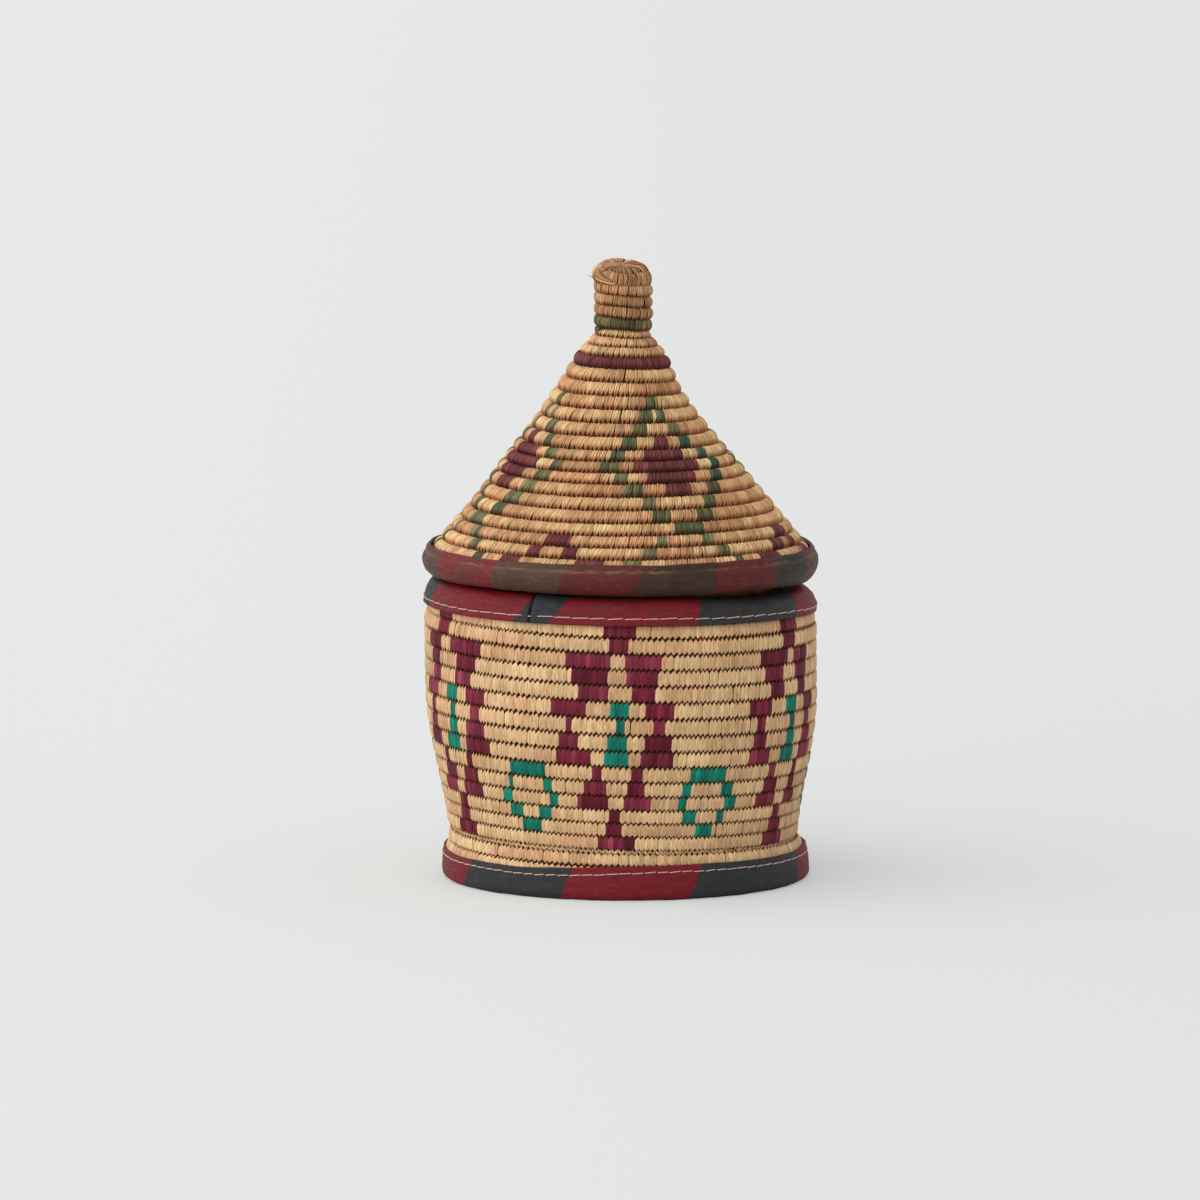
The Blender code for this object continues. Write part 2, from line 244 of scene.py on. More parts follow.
floor_paint = Nodes("pale_floor")
by_camera = floor_paint.add("LightPath").outputs["Is Camera Ray"]
sideways = floor_paint.split(floor_paint.place())[0]
seen = floor_paint.mix(floor_paint.span(sideways, -PICTURE_HALF, PICTURE_HALF), FLOOR_LEFT, FLOOR_RIGHT)
shaded = floor_paint.tint(seen, (1 - FLOOR_GLOW,) * 3)
floor_paint.paint(floor_paint.mix(by_camera, FLOOR_IN_REFLECTIONS, shaded), 0.9, 0.1)
floor_paint.join(seen, floor_paint.shader.inputs["Emission Color"])
floor_paint.join(floor_paint.times(by_camera, FLOOR_GLOW), floor_paint.shader.inputs["Emission Strength"])

floor = put_in_scene("floor", bpy.data.meshes.new("floor"))
corners = [(x * FLOOR_SIZE / 2, y * FLOOR_SIZE / 2, 0) for x, y in ((-1, -1), (1, -1), (1, 1), (-1, 1))]
floor.data.from_pydata(corners, [], [(0, 1, 2, 3)])
floor.data.materials.append(floor_paint.material)
print("floor", FLOOR_SIZE, "m wide")


# %% [markdown]
# The line that a wall follows
#
# A basket is nearly round, so its shape is one line in radius and height, swept round the axis. A
# coil needs two things from it: a point at a given length along the line, and the directions along
# it and out of it. Past its ends the line runs straight on, which gives the last rows somewhere to go.

# %% Profile
def smooth_step(value):
    t = np.clip(value, 0.0, 1.0)
    return t * t * (3 - 2 * t)


class Profile:
    """A line in radius and height. side=1 has the outer side on the right of the way along."""

    BASELINE = 0.6  # half the stretch over which a direction is taken

    def __init__(self, points, side=1):
        self.points = np.array(points, float)
        self.side = side
        steps = np.hypot(*np.diff(self.points, axis=0).T)
        self.lengths = np.concatenate([[0.0], np.cumsum(steps)])
        self.length = self.lengths[-1]

    def point(self, s):
        return np.stack([np.interp(s, self.lengths, self.points[:, k]) for k in (0, 1)], -1)

    def at(self, s):
        """Points, directions along and directions out, each as (radius, height), at lengths s."""
        s = np.asarray(s, float)
        inside = np.clip(s, 0.0, self.length)
        low = np.clip(inside - self.BASELINE, 0.0, self.length)
        high = np.clip(inside + self.BASELINE, 0.0, self.length)
        along = unit(self.point(high) - self.point(low))
        out = np.stack([along[..., 1], -along[..., 0]], -1) * self.side
        return self.point(inside) + along * (s - inside)[..., None], along, out

    def length_at_height(self, height):
        rising = self.points[-1, 1] > self.points[0, 1]
        order = slice(None, None, 1 if rising else -1)
        return float(np.interp(height, self.points[order, 1], self.lengths[order]))


def unit(vectors):
    return vectors / np.linalg.norm(vectors, axis=-1, keepdims=True)


def arc(centre, radius, start, end, steps=16):
    turn = np.radians(np.linspace(start, end, steps + 1))
    return [(centre[0] + radius * math.cos(t), centre[1] + radius * math.sin(t)) for t in turn]


def cubic(p0, p1, p2, p3, steps=48):
    t = np.linspace(0, 1, steps + 1)[:, None]
    p0, p1, p2, p3 = (np.array(p) for p in (p0, p1, p2, p3))
    return list((1 - t) ** 3 * p0 + 3 * t * (1 - t) ** 2 * p1 + 3 * t * t * (1 - t) * p2 + t**3 * p3)


# %% The basket's lines
HALF = 3.0  # half of the straw's thickness
WAIST_RADIUS = 69.2
WAIST_HEIGHT = 12
BELLY_RADIUS = 77.8
BELLY_HEIGHT = 75
UNDER_LEATHER = 1.5  # how far the wall is drawn in under the mouth's leather
DRAWN_FROM, DRAWN_TO = 101, 110
MOUTH_ROLL = 6.9  # outer radius of the straw where the wall rolls in under the leather
MOUTH_ROLL_CENTRE = MOUTH_HIGH - 8.2
FOOT_TOP = 18.6
FOOT_STRAW_LOW = 1.5
FOOT_RADIUS = 66.9
FOOT_FLARE = 2.2
FLARE_FROM, FLARE_OVER = 17, 8  # the height where the foot's flare starts, and its own height
CONE_BASE_LEAN, CONE_TOP_LEAN = math.radians(39), math.radians(29)
SHOULDER = (17.6, 211.5)
NECK = (7.6, NECK_HIGH + 0.3)
RIM_CENTRE, RIM_BEND = (72.4, 127.2), 1.6
FLOOR_EYE, FLOOR_REACH = 1.0, 62.4
COLLAR_LOW_RADIUS, COLLAR_HIGH_RADIUS = 60.9, 62.9
COLLAR_OVERLAP = 8.0  # how far the collar goes down into the mouth and up into the lid


def wall_radius(height):
    """Outside the rows: a curve from the waist out to the belly, then in a little under the leather."""
    swell = smooth_step((height - WAIST_HEIGHT) / (BELLY_HEIGHT - WAIST_HEIGHT))
    drawn = smooth_step((height - DRAWN_FROM) / (DRAWN_TO - DRAWN_FROM))
    return WAIST_RADIUS + (BELLY_RADIUS - WAIST_RADIUS) * swell - UNDER_LEATHER * drawn


def wall_profile():
    """From the foot up to the mouth, where the wall rolls inwards."""
    heights = np.linspace(WAIST_HEIGHT, MOUTH_ROLL_CENTRE, 60)
    side = [(wall_radius(h) - HALF, h) for h in heights[:-1]]
    centre = (wall_radius(MOUTH_ROLL_CENTRE) - MOUTH_ROLL, MOUTH_ROLL_CENTRE)
    return Profile(side + arc(centre, MOUTH_ROLL - HALF, 0, 90))


def foot_profile():
    """From the waist down to the floor."""
    heights = np.linspace(FOOT_TOP, FOOT_STRAW_LOW, 24)
    radii = FOOT_RADIUS + FOOT_FLARE * smooth_step((FLARE_FROM - heights) / FLARE_OVER)
    return Profile(np.stack([radii, heights], -1), side=-1)


def lid_profile():
    """From the neck down the cone, round the rim and in under it."""
    rim = arc(RIM_CENTRE, RIM_BEND, math.degrees(CONE_BASE_LEAN), -90)
    shoulder = (SHOULDER[0] - HALF * math.cos(CONE_TOP_LEAN), SHOULDER[1] - HALF * math.sin(CONE_TOP_LEAN))
    reach = math.dist(shoulder, rim[0]) / 3
    after = (shoulder[0] + reach * math.sin(CONE_TOP_LEAN), shoulder[1] - reach * math.cos(CONE_TOP_LEAN))
    before = (rim[0][0] - reach * math.sin(CONE_BASE_LEAN), rim[0][1] + reach * math.cos(CONE_BASE_LEAN))
    return Profile([NECK, *cubic(shoulder, after, before, rim[0]), *rim[1:]], side=-1)


wall_line, foot_line, lid_line = wall_profile(), foot_profile(), lid_profile()
floor_line = Profile([(FLOOR_EYE, FLOOR_LOW + HALF), (FLOOR_REACH, FLOOR_LOW + HALF)])
collar_line = Profile(
    [(COLLAR_LOW_RADIUS, MOUTH_HIGH - COLLAR_OVERLAP), (COLLAR_HIGH_RADIUS, LID_LOW + COLLAR_OVERLAP)]
)
print("wall line", round(wall_line.length), "mm, lid line", round(lid_line.length), "mm")

# %% The knob's line
KNOB_RADIUS = 11.7
KNOB_HALF = 2.5
KNOB_TURN_OVER = 4.7  # radius where the knob's side turns over to its top
KNOB_EYE = 1.4


def knob_profile():
    """From the eye in the knob's top outwards and down its side."""
    centre = (KNOB_RADIUS - KNOB_TURN_OVER, KNOB_HIGH - KNOB_TURN_OVER - 0.4)
    bend = arc(centre, KNOB_TURN_OVER - KNOB_HALF, 90, 0)
    side = [(KNOB_RADIUS - KNOB_HALF, NECK_HIGH + 0.6), (6.0, NECK_HIGH - 5)]
    return Profile([(KNOB_EYE, bend[0][1] - 0.5), *bend, *side], side=-1)


knob_line = knob_profile()


# %% [markdown]
# Hand-made unevenness
#
# Nothing on a sewn basket is level. This one leans a little, its mouth is lower on the right, and
# each turn waves. Every piece of a body goes through the same function, so they still fit. Under the
# foot the leather is pressed flat.

# %% How the basket and the lid sit
BASKET_TILT = 0.013  # how far the mouth falls to the right, for each mm
LID_TILT = 0.004
LID_LIFT = 0.9  # the lid rests on the leather's high side
STANDING = 0.02  # the foot's leather is pressed flat this high above the floor
LEVEL_FOOT = 25  # the waves and the tilt grow from nothing at the floor to their full size here
MEAN_RADIUS = 76
LID_MIDDLE = 30  # the lid's waves fade inside this radius
# at a height: how far it stands to the right and how much further out
BASKET_LINE = {
    0: (1.6, 0.0),
    12: (1.2, 0.2),
    22: (0.3, 0.7),
    52: (0.3, 0.7),
    77: (-0.2, 0.8),
    113: (-1.0, 1.1),
}
LID_LINE = {
    118: (-0.7, 1.1),
    131: (-0.7, 1.1),
    138: (-0.4, 1.4),
    148: (0.0, 0.8),
    163: (-0.6, 0.7),
    176: (-1.4, -0.2),
    186: (-1.7, -1.1),
    196: (-1.8, -1.1),
    205: (-0.7, -0.3),
    214: (-0.3, 0.0),
    226: (0.5, 0.0),
    238: (0.5, 0.0),
    246: (-0.5, 0.0),
}


def line_at(line, heights):
    """How far to the right and how far out at each height."""
    known = list(line)
    return [np.interp(heights, known, [value[k] for value in line.values()]) for k in (0, 1)]


def basket_settle(points):
    x, y, z = np.moveaxis(points, -1, 0)
    angle = np.arctan2(x, -y)
    share = smooth_step(z / LEVEL_FOOT)
    aside, further = line_at(BASKET_LINE, z)
    wave = 0.3 * np.sin(2 * angle + 0.6) + 0.22 * np.sin(5 * angle + z * 0.05)
    radial = 1 + (share * wave + further) / MEAN_RADIUS
    drop = share * (BASKET_TILT * x - 0.16 * np.sin(3 * angle + 1 + z * 0.03))
    return np.stack([x * radial + aside, y * radial, np.maximum(z - drop, STANDING)], -1)


def lid_settle(points):
    x, y, z = np.moveaxis(points, -1, 0)
    radius, angle = np.hypot(x, y), np.arctan2(x, -y)
    up = np.clip((z - LID_LOW) / (KNOB_HIGH - LID_LOW), 0, 1)
    aside, further = line_at(LID_LINE, z)
    wave = 0.3 * np.sin(2 * angle + 2.1) + 0.18 * np.sin(5 * angle + z * 0.06)
    radial = 1 + (further + wave * np.clip(radius / LID_MIDDLE, 0, 1)) / np.maximum(radius, 20)
    lift = (LID_LIFT - LID_TILT * x) * (1 - up) + 0.12 * np.sin(3 * angle + z * 0.04)
    return np.stack([x * radial + aside, y * radial, z + lift], -1)


KNOB_NOD = 0.2  # the knob's top is lower at the front, for each mm
KNOB_SINK = 1.2  # how far the knob's end has sunk in
NOD_FROM, NOD_OVER = 234, 12  # where each starts, and the height over which it grows
SINK_FROM, SINK_OVER = 238, 8


def knob_settle(points):
    settled = lid_settle(points)
    nod = smooth_step((points[..., 2] - NOD_FROM) / NOD_OVER) * KNOB_NOD * points[..., 1]
    settled[..., 2] += nod - KNOB_SINK * smooth_step((points[..., 2] - SINK_FROM) / SINK_OVER)
    return settled


# %% [markdown]
# Where each stitch goes
#
# A coil is a list of places. Each place has a point, the way the coil runs, the way out of the wall
# and the way ahead to the next row. The wall's stitches are so even that each row has the same
# number and a part of one more. That part sets every row aside from the one below, as far as its
# leaning teeth need to meet in a zigzag. On the cone and the flat floor the rows change in length,
# so there the stitch keeps its width instead.

# %% Coil of stitch places
TURN = 360.0
ROW_JITTER, WIDTH_JITTER = 0.07, 0.08  # how unevenly the maker spaces stitches, as a share of one
DRIFTS = ((9.03, 0.0014), (17.05, 0.0008))  # waves in a turn, and the share of a turn that each moves


def around(flat, angles):
    """Turns (radius, height) pairs into points or directions at angles from the front."""
    turn = np.radians(angles)
    return np.stack([flat[..., 0] * np.sin(turn), -flat[..., 0] * np.cos(turn), flat[..., 1]], -1)


class Coil:
    """Places for the stitches of one coil. skew lets the rows fall to the right by that share."""

    def __init__(self, profile, length_at, settle, start_angle=0.0, skew=0.0):
        self.profile = profile
        self.length_at = length_at
        self.settle = settle
        self.start_angle = start_angle
        self.skew = skew

    def with_turns(self, turns):
        self.turns = turns
        return self

    def with_even_rows(self, first, last, per_turn):
        """Even stitches, but for a drift that each row takes over from the one below."""
        turns = np.arange(first, last, 1.0 / per_turn)
        drift = sum(most * np.sin(waves * (2 * math.pi * turns)) for waves, most in DRIFTS)
        jitter = np.random.default_rng(round(per_turn)).normal(0, ROW_JITTER, len(turns)) / per_turn
        return self.with_turns(turns + drift + jitter)

    def with_even_width(self, first, last, width):
        turns, t = [], first
        while t < last:
            turns.append(t)
            t += width / (2 * math.pi * max(self.radius_at(t), width))
        jitter = np.random.default_rng(len(turns)).normal(0, WIDTH_JITTER, len(turns))
        return self.with_turns(np.array(turns) + jitter * np.gradient(turns))

    def radius_at(self, turn):
        return float(self.profile.at(np.array([self.length_at(turn)]))[0][0, 0])

    def angles(self):
        return self.start_angle - self.profile.side * TURN * self.turns

    def heights(self):
        return self.length_at(self.turns + 0.5) - self.length_at(self.turns - 0.5)

    def rows(self, seam):
        """The row of each stitch as seen from the front, with a jog of one row at the seam's angle."""
        wrapped = (self.angles() + TURN - seam) % TURN - (TURN - seam)
        return np.round(self.turns + self.profile.side * (wrapped - self.start_angle) / TURN).astype(int)

    def place(self):
        """Settled points, ways along the coil, ways out and ways ahead."""
        angles = self.angles()
        lengths = self.length_at(self.turns)
        radius = self.profile.at(lengths)[0][:, 0]
        falls = self.skew * radius * np.sin(np.radians(angles)) * -self.profile.side
        flat, along, out = self.profile.at(lengths + falls)
        turn = np.radians(angles)
        run = np.stack([np.cos(turn), np.sin(turn), 0 * turn], -1) * -self.profile.side
        return self.settle(around(flat, angles)), run, around(out, angles), around(along, angles)


# %% The rows of the basket
WALL_STITCHES, FOOT_STITCHES = 239.74, 188.74  # in one turn
STITCH = 2.0  # width of one stitch
LID_STITCH = 1.8
KNOB_STITCH = 1.6
WALL_ROW, WALL_BULGE = 5.6, 7.5  # rows are thicker round the belly, by so much in all
BULGE_FROM, BULGE_ROWS = 3, 12
JOINING_LOW = 0.9  # how far the joining stitches lie under the wall's lowest row
FLOOR_ROW = 6.1
FOOT_ROW, FOOT_START = 5.5, 1.3
COLLAR_ROW = 5.4
BODY_BASE = 20.0
# height of the line above some rows of the lid
LID_MARKS = {0: NECK_HIGH, 3: 209.0, 4: 204.6, 7: 189.1, 10: 174.0, 13: 161.5, 16: 147.0, 19: 133.8}
KNOB_MARKS = (-3.6, 1.2, 6.8, 12.6, 17.5, 22.1, 26.7, 31.3, 35.9)  # lengths after each turn, from the eye

lid_marks = [lid_line.length_at_height(height) for height in LID_MARKS.values()]
LID_ROW = (lid_marks[-1] - lid_marks[-2]) / 3


def wall_length(turns):
    rows = turns + 0.5
    bulge = WALL_BULGE * smooth_step((rows - BULGE_FROM) / BULGE_ROWS)
    return wall_line.length_at_height(BODY_BASE) + WALL_ROW * rows + bulge


def joining_length(turns):
    return wall_length(turns - 0.5) - JOINING_LOW


def foot_length(turns):
    return FOOT_START + FOOT_ROW * turns


def floor_length(turns):
    return FLOOR_ROW * turns


def collar_length(turns):
    return COLLAR_ROW * turns


def lid_length(turns):
    past = np.maximum(np.asarray(turns) - 19, 0) * LID_ROW
    return np.interp(turns, list(LID_MARKS), lid_marks) + past


def knob_length(turns):
    return np.interp(turns, range(len(KNOB_MARKS)), KNOB_MARKS)


# %% The coils
WALL_SKEW = 0.005
JOINING_DEPTH = 0.8  # how far the joining stitches lie inside the wall's line
joining_line = Profile(wall_line.points - (JOINING_DEPTH, 0))

wall_coil = Coil(wall_line, wall_length, basket_settle, skew=WALL_SKEW)
wall_coil.with_even_rows(-0.62, 15.4, WALL_STITCHES)
foot_coil = Coil(foot_line, foot_length, basket_settle, -137.0, 0.006)
foot_coil.with_even_rows(0, 2.55, FOOT_STITCHES)
joining_coil = Coil(joining_line, joining_length, basket_settle, skew=WALL_SKEW)
joining_coil.with_even_rows(-0.63, 0.4, 2 * FOOT_STITCHES)
floor_coil = Coil(floor_line, floor_length, basket_settle).with_even_width(0.35, 10.0, STITCH)
lid_coil = Coil(lid_line, lid_length, lid_settle, -180.0, -0.012).with_even_width(-0.2, 21.6, LID_STITCH)
collar_coil = Coil(collar_line, collar_length, lid_settle).with_even_width(0.0, 2.9, LID_STITCH)
knob_coil = Coil(knob_line, knob_length, knob_settle, 180.0).with_even_width(2.0, 7.32, KNOB_STITCH)
# the knob's bundle starts nearer the eye and ends behind the lid's first row
knob_core_coil = Coil(knob_line, knob_length, knob_settle, 180.0).with_turns(np.array([0.95, 7.7]))
for title, coil in (("wall", wall_coil), ("foot", foot_coil), ("floor", floor_coil), ("lid", lid_coil)):
    print(title, "coil has", len(coil.turns), "stitches")


# %% [markdown]
# Which leaf each stitch is wound from
#
# The figures are charts: for each row, which stretches of it are dyed. The maker repeats the chart
# round the basket. One split leaf lasts three to twelve stitches, so neighbours share a tone and the
# tone jumps where a new leaf starts. The same random numbers are drawn each time, from a fixed seed.

# %% Dyes
# the collar's straw is painted darker, as painted shade: it stands in the shadow of the lid inside the gap
SHADED_COLLAR_STRAW = linear(128, 90, 60)
# fresh and faded straw, plum and teal
BODY_DYES = (
    (linear(234, 199, 154), linear(104, 20, 44), linear(0, 124, 112)),
    (linear(222, 178, 138), linear(166, 68, 94), linear(24, 140, 114)),
)
# fresh and faded straw, plum, green and blue-green
LID_DYES = (
    (linear(244, 204, 154), linear(124, 63, 68), linear(104, 114, 82), linear(62, 98, 90)),
    (linear(214, 162, 122), linear(142, 90, 92), linear(154, 142, 104), linear(90, 112, 98)),
)
# fresh and faded straw and green
KNOB_DYES = (
    (linear(196, 149, 110), linear(98, 96, 63)),
    (linear(214, 176, 134), linear(160, 152, 108)),
)
COLLAR_DYES = ((SHADED_COLLAR_STRAW,), (SHADED_COLLAR_STRAW,))

# %% Chart of the body
FIGURE_ANGLES = (-2.0, 58.0, 118.0, 178.0, -121.5, -60.7)
RING_ANGLES = (-30.2, 26.7, 88.0, 148.0, -152.5, -92.0)
BODY_SEAM = 199.5
# each row, counted up from the foot, has its dyed stretches in degrees from the figure's middle
PLUM_CHART = {
    0: [(-6, 5.2)],
    1: [(-3.5, 2.2)],
    2: [(-2.2, 1.0)],
    3: [(-11.5, -2.2), (1.8, 10.5)],
    4: [(-9.6, -2.9), (3.3, 9)],
    5: [(-7.9, -4.8), (5.0, 8.0)],
    6: [(-18, -8.2), (7, 17.3)],
    7: [(-16.1, -11), (8, 16.2)],
    8: [(-14.8, -11.8), (10.1, 14.0)],
    9: [(-18.6, -8.8), (9.1, 17)],
    10: [(-10.4, -2.8), (4.8, 11)],
    11: [(-12, -2.6), (3.4, 12)],
    12: [(-13.8, -0.5), (3.2, 13)],
    13: [(-1.8, 4.4)],
    14: [(-3, 6.8)],
}
# the upper rows of the figure at the left, which the maker set further left
LEFT_CHART = {
    10: [(-12, -5.8), (3.9, 11.6)],
    11: [(-13, -6), (3.7, 13.8)],
    12: [(-15, -5), (1.5, 16)],
    13: [(-6.1, 0)],
    14: [(-8, 1.2)],
}
TEAL_CHART = {6: [(-3.5, 3.5)], 7: [(-2.1, 3.4)], 8: [(-0.4, 2.6)], 9: [(-2, 3.9)]}
RING_CHART = {
    1: [(-3.6, 3.2)],
    2: [(-7.4, -3), (3.2, 6.4)],
    3: [(-9.9, -6.8), (6.8, 9.8)],
    4: [(-8.1, -4.8), (4.8, 8.2)],
    5: [(-6.3, 6.2)],
}

# %% Chart of the lid
LID_FIGURES = 4
LID_FIGURE_ANGLE = 25.5
ARROW_ANGLE = -22.0
LID_TOP_ROW = 19
# rows counted up from the leather
DIAMOND_CHART = {
    6: [(-5.5, 5.5)],
    7: [(-12.5, 11.5)],
    8: [(-18, 17.5)],
    9: [(-11.5, 12)],
    10: [(-4.5, 5.5)],
}
OUTLINE_CHART = {
    0: [(-24, -20), (12.5, 16)],
    1: [(-18.5, -14.5), (8, 12)],
    2: [(-13.5, -10.5), (2.5, 8.5)],
    3: [(-6, 4.5)],
    4: [(-14, -8), (4.5, 11.5)],
    5: [(-17.5, -10.5), (9.5, 17.5)],
    6: [(-24, -15.5), (14, 22.5)],
    7: [(-29, -21.5)],
    8: [(-35, -27)],
    9: [(-30, -21.5)],
    10: [(-23.5, -15)],
    11: [(-16, -7), (8.5, 17.5)],
    12: [(-8.5, 0), (5.5, 11.5)],
    13: [(0.5, 10.5)],
}
# the outline's right side, which is blue-green in the figure at the front
BLUE_CHART = {7: [(21.5, 29.5)], 8: [(28, 34.5)], 9: [(21.5, 28.5)], 10: [(13.5, 22)]}
ARROW_CHART = {0: [(-19, -10), (8, 17)], 1: [(-10, -4), (2, 8)], 2: [(-5, 5)]}
LID_RING_ROW = 16


# %% Picking leaves
def from_middle(angles, middle, step=TURN):
    """Angles from the nearest of the middles that repeat at each step."""
    return (angles - middle + step / 2) % step - step / 2


def from_nearest(angles, middles):
    offsets = np.stack([from_middle(angles, middle) for middle in middles])
    return offsets[np.abs(offsets).argmin(0), np.arange(len(angles))]


def on_chart(chart, rows, offsets):
    """Which stitches fall on a dyed stretch of their row."""
    found = np.zeros(len(rows), bool)
    for row, stretches in chart.items():
        for low, high in stretches:
            found |= (rows == row) & (offsets >= low) & (offsets <= high)
    return found


def leaf_numbers(rng, groups, shortest=3, longest=12):
    """A number for each stitch that changes where a new leaf starts or the dye changes."""
    numbers, left, leaf = np.zeros(len(groups), int), 0, 0
    for i, group in enumerate(groups):
        if left == 0 or (i and group != groups[i - 1]):
            leaf += 1
            left = rng.integers(shortest, longest + 1)
        numbers[i] = leaf
        left -= 1
    return numbers


class Leaves:
    """The leaf of each stitch: its colour, its tone and a number for its fibres."""

    DYED_SPREAD = 0.2  # dyed leaves differ more in tone than plain ones
    LEAF_SHARE, OWN_SHARE = 0.55, 0.85  # how much of that is the whole leaf's and the stitch's own

    def __init__(self, dyes, colours, seed, spread=0.1):
        rng = np.random.default_rng(seed)
        count = len(dyes)
        numbers = leaf_numbers(rng, dyes)
        leaves = numbers.max() + 1
        leaf_tone = rng.normal(0, self.LEAF_SHARE, leaves)[numbers]
        leaf_fade = rng.uniform(0, 1, leaves)[numbers]
        tone = leaf_tone + rng.normal(0, self.OWN_SHARE, count)
        dyed_fade = 0.6 * leaf_fade**3 + 0.5 * rng.uniform(0, 1, count) ** 4
        fade = np.where(dyes > 0, dyed_fade, leaf_fade**2)
        spreads = np.where(dyes > 0, self.DYED_SPREAD, spread)
        fresh, old = (np.array(dye_set)[dyes] for dye_set in colours)
        colour = fresh + (old - fresh) * fade[:, None]
        colour = np.clip(colour * np.exp(spreads * tone)[:, None], 0.002, 0.95)
        self.colour = np.concatenate([colour, np.ones((count, 1))], 1)
        self.fibre = rng.uniform(0, 1, count)


def body_dyes(coil):
    """0 for plain straw, 1 for plum and 2 for teal."""
    rows = coil.rows(BODY_SEAM)
    angles = coil.angles() + np.random.default_rng(11).uniform(-0.35, 0.35, len(rows))
    figure = from_nearest(angles, FIGURE_ANGLES)
    left = (np.abs(from_middle(angles, FIGURE_ANGLES[-1])) < 30) & (rows >= min(LEFT_CHART))
    dyes = np.zeros(len(rows), int)
    dyes[np.where(left, on_chart(LEFT_CHART, rows, figure), on_chart(PLUM_CHART, rows, figure))] = 1
    dyes[on_chart(TEAL_CHART, rows, figure)] = 2
    for middle in RING_ANGLES:
        dyes[on_chart(RING_CHART, rows, from_middle(angles, middle))] = 2
    return dyes


def lid_dyes(coil):
    """0 for plain straw, 1 for plum, 2 for green and 3 for blue-green."""
    rows = LID_TOP_ROW - np.round(coil.turns - 0.5 - from_middle(coil.angles(), 0) / TURN).astype(int)
    angles = coil.angles() + np.random.default_rng(12).uniform(-0.5, 0.5, len(rows))
    figure = from_middle(angles, LID_FIGURE_ANGLE, TURN / LID_FIGURES)
    dyes = np.zeros(len(rows), int)
    dyes[on_chart(DIAMOND_CHART, rows, figure) | (rows == LID_RING_ROW)] = 1
    dyes[on_chart(ARROW_CHART, rows, from_middle(angles, ARROW_ANGLE, TURN / LID_FIGURES))] = 1
    dyes[on_chart(OUTLINE_CHART, rows, figure)] = 2
    blue = np.where(np.abs(from_middle(angles, LID_FIGURE_ANGLE)) < 45, 3, 2)
    turned_blue = on_chart(BLUE_CHART, rows, figure)
    dyes[turned_blue] = blue[turned_blue]
    return dyes


# %% [markdown]
# One stitch
#
# A stitch is a flat strip that goes once round the bundle. On the wall both its ends narrow to a
# tooth, because the stitches of the rows above and below pass between the teeth, and the dark zigzag
# between them is what one sees of the holes. On the lid only the end ahead narrows, and the other
# dives into the row before. The strip is modelled once, as a closed band of a few dozen faces.

# %% Stitch shape
STITCH_ROW = 6.2  # the shapes below are drawn for a row of this height
# ahead, out, share of the full width: round the side that faces out, then round the inner side
INNER_SIDE = [(3.3, -1.4, 0.5), (2.2, -2.6, 0.95), (0, -3.0, 1.0), (-2.2, -2.6, 0.95), (-3.3, -1.4, 0.5)]
FLAT_STITCH = [
    (-3.6, 2.05, 0.04),
    (-3.0, 2.5, 0.33),
    (-2.3, 2.8, 0.74),
    (-1.8, 2.93, 1.0),
    (0, 3.0, 1.0),
    (1.8, 2.93, 1.0),
    (2.3, 2.8, 0.73),
    (3.0, 2.5, 0.32),
    (3.6, 2.05, 0.03),
    *INNER_SIDE,
]
ROUND_STITCH = [
    (-3.4, 0.7, 1.0),
    (-2.8, 2.15, 1.0),
    (-1.5, 2.85, 1.0),
    (0.1, 3.05, 1.0),
    (1.3, 2.9, 1.0),
    (2.1, 2.5, 0.86),
    (2.7, 2.0, 0.55),
    (3.5, 1.0, 0.4),
    *INNER_SIDE,
]
JOINING_STITCH = [(-3.4, 2.4, 1.0), (0, 3.0, 1.0), (3.4, 2.4, 1.0), (3.0, -1.4, 1.0), (-3.0, -1.4, 1.0)]
SPLIT = 0.27  # each stitch is two strips side by side, whose crests lie this share from its middle


def stitch_mesh(name, shape, width, rounding, groove, tooth_lean=0.0):
    """A closed band in metres: X along the coil, Y out of the wall, Z ahead."""
    section = ((-0.5, rounding), (-SPLIT, 0.0), (0.0, groove), (SPLIT, 0.0), (0.5, rounding))
    work = bmesh.new()
    layer = work.loops.layers.uv.new("strip")
    rings = []
    for ahead, out, share in shape:
        size = math.hypot(ahead, out)
        aside = -math.copysign(tooth_lean * (1 - share), ahead)
        ring = []
        for across, depth in section:
            inward = 1 - depth / size
            sideways = (across * share + aside) * width
            ring.append(work.verts.new((sideways * MM, out * inward * MM, ahead * inward * MM)))
        rings.append(ring)
    for i, here in enumerate(rings):
        there = rings[(i + 1) % len(rings)]
        v_here, v_there = (shape[j % len(rings)][0] / STITCH_ROW + 0.5 for j in (i, i + 1))
        for k in range(len(section) - 1):
            face = work.faces.new((here[k], there[k], there[k + 1], here[k + 1]))
            u_left, u_right = section[k][0] + 0.5, section[k + 1][0] + 0.5
            corners = ((u_left, v_here), (u_left, v_there), (u_right, v_there), (u_right, v_here))
            for corner, place in zip(face.loops, corners):
                corner[layer].uv = place
    bmesh.ops.recalc_face_normals(work, faces=work.faces)
    mesh = bpy.data.meshes.new(name)
    work.to_mesh(mesh)
    work.free()
    mesh.shade_smooth()
    return bpy.data.objects.new(name, mesh)


# %% [markdown]
# Sewing with Geometry Nodes
#
# The places become a mesh of loose points that carry their directions and their leaf as attributes.
# A node tree sets one stitch on each point, turns it the right way, makes each a little wider,
# narrower or more slanted than its neighbour, and roughens the surface by a tenth of a millimetre.

# %% Node tree for the stitches
SEWING_INPUTS = {
    "Places": "Geometry",
    "Stitch": "Object",
    "Unevenness": "Float",
    "Slant": "Float",
    "Roughness": "Float",
    "Material": "Material",
    "Seed": "Int",
}
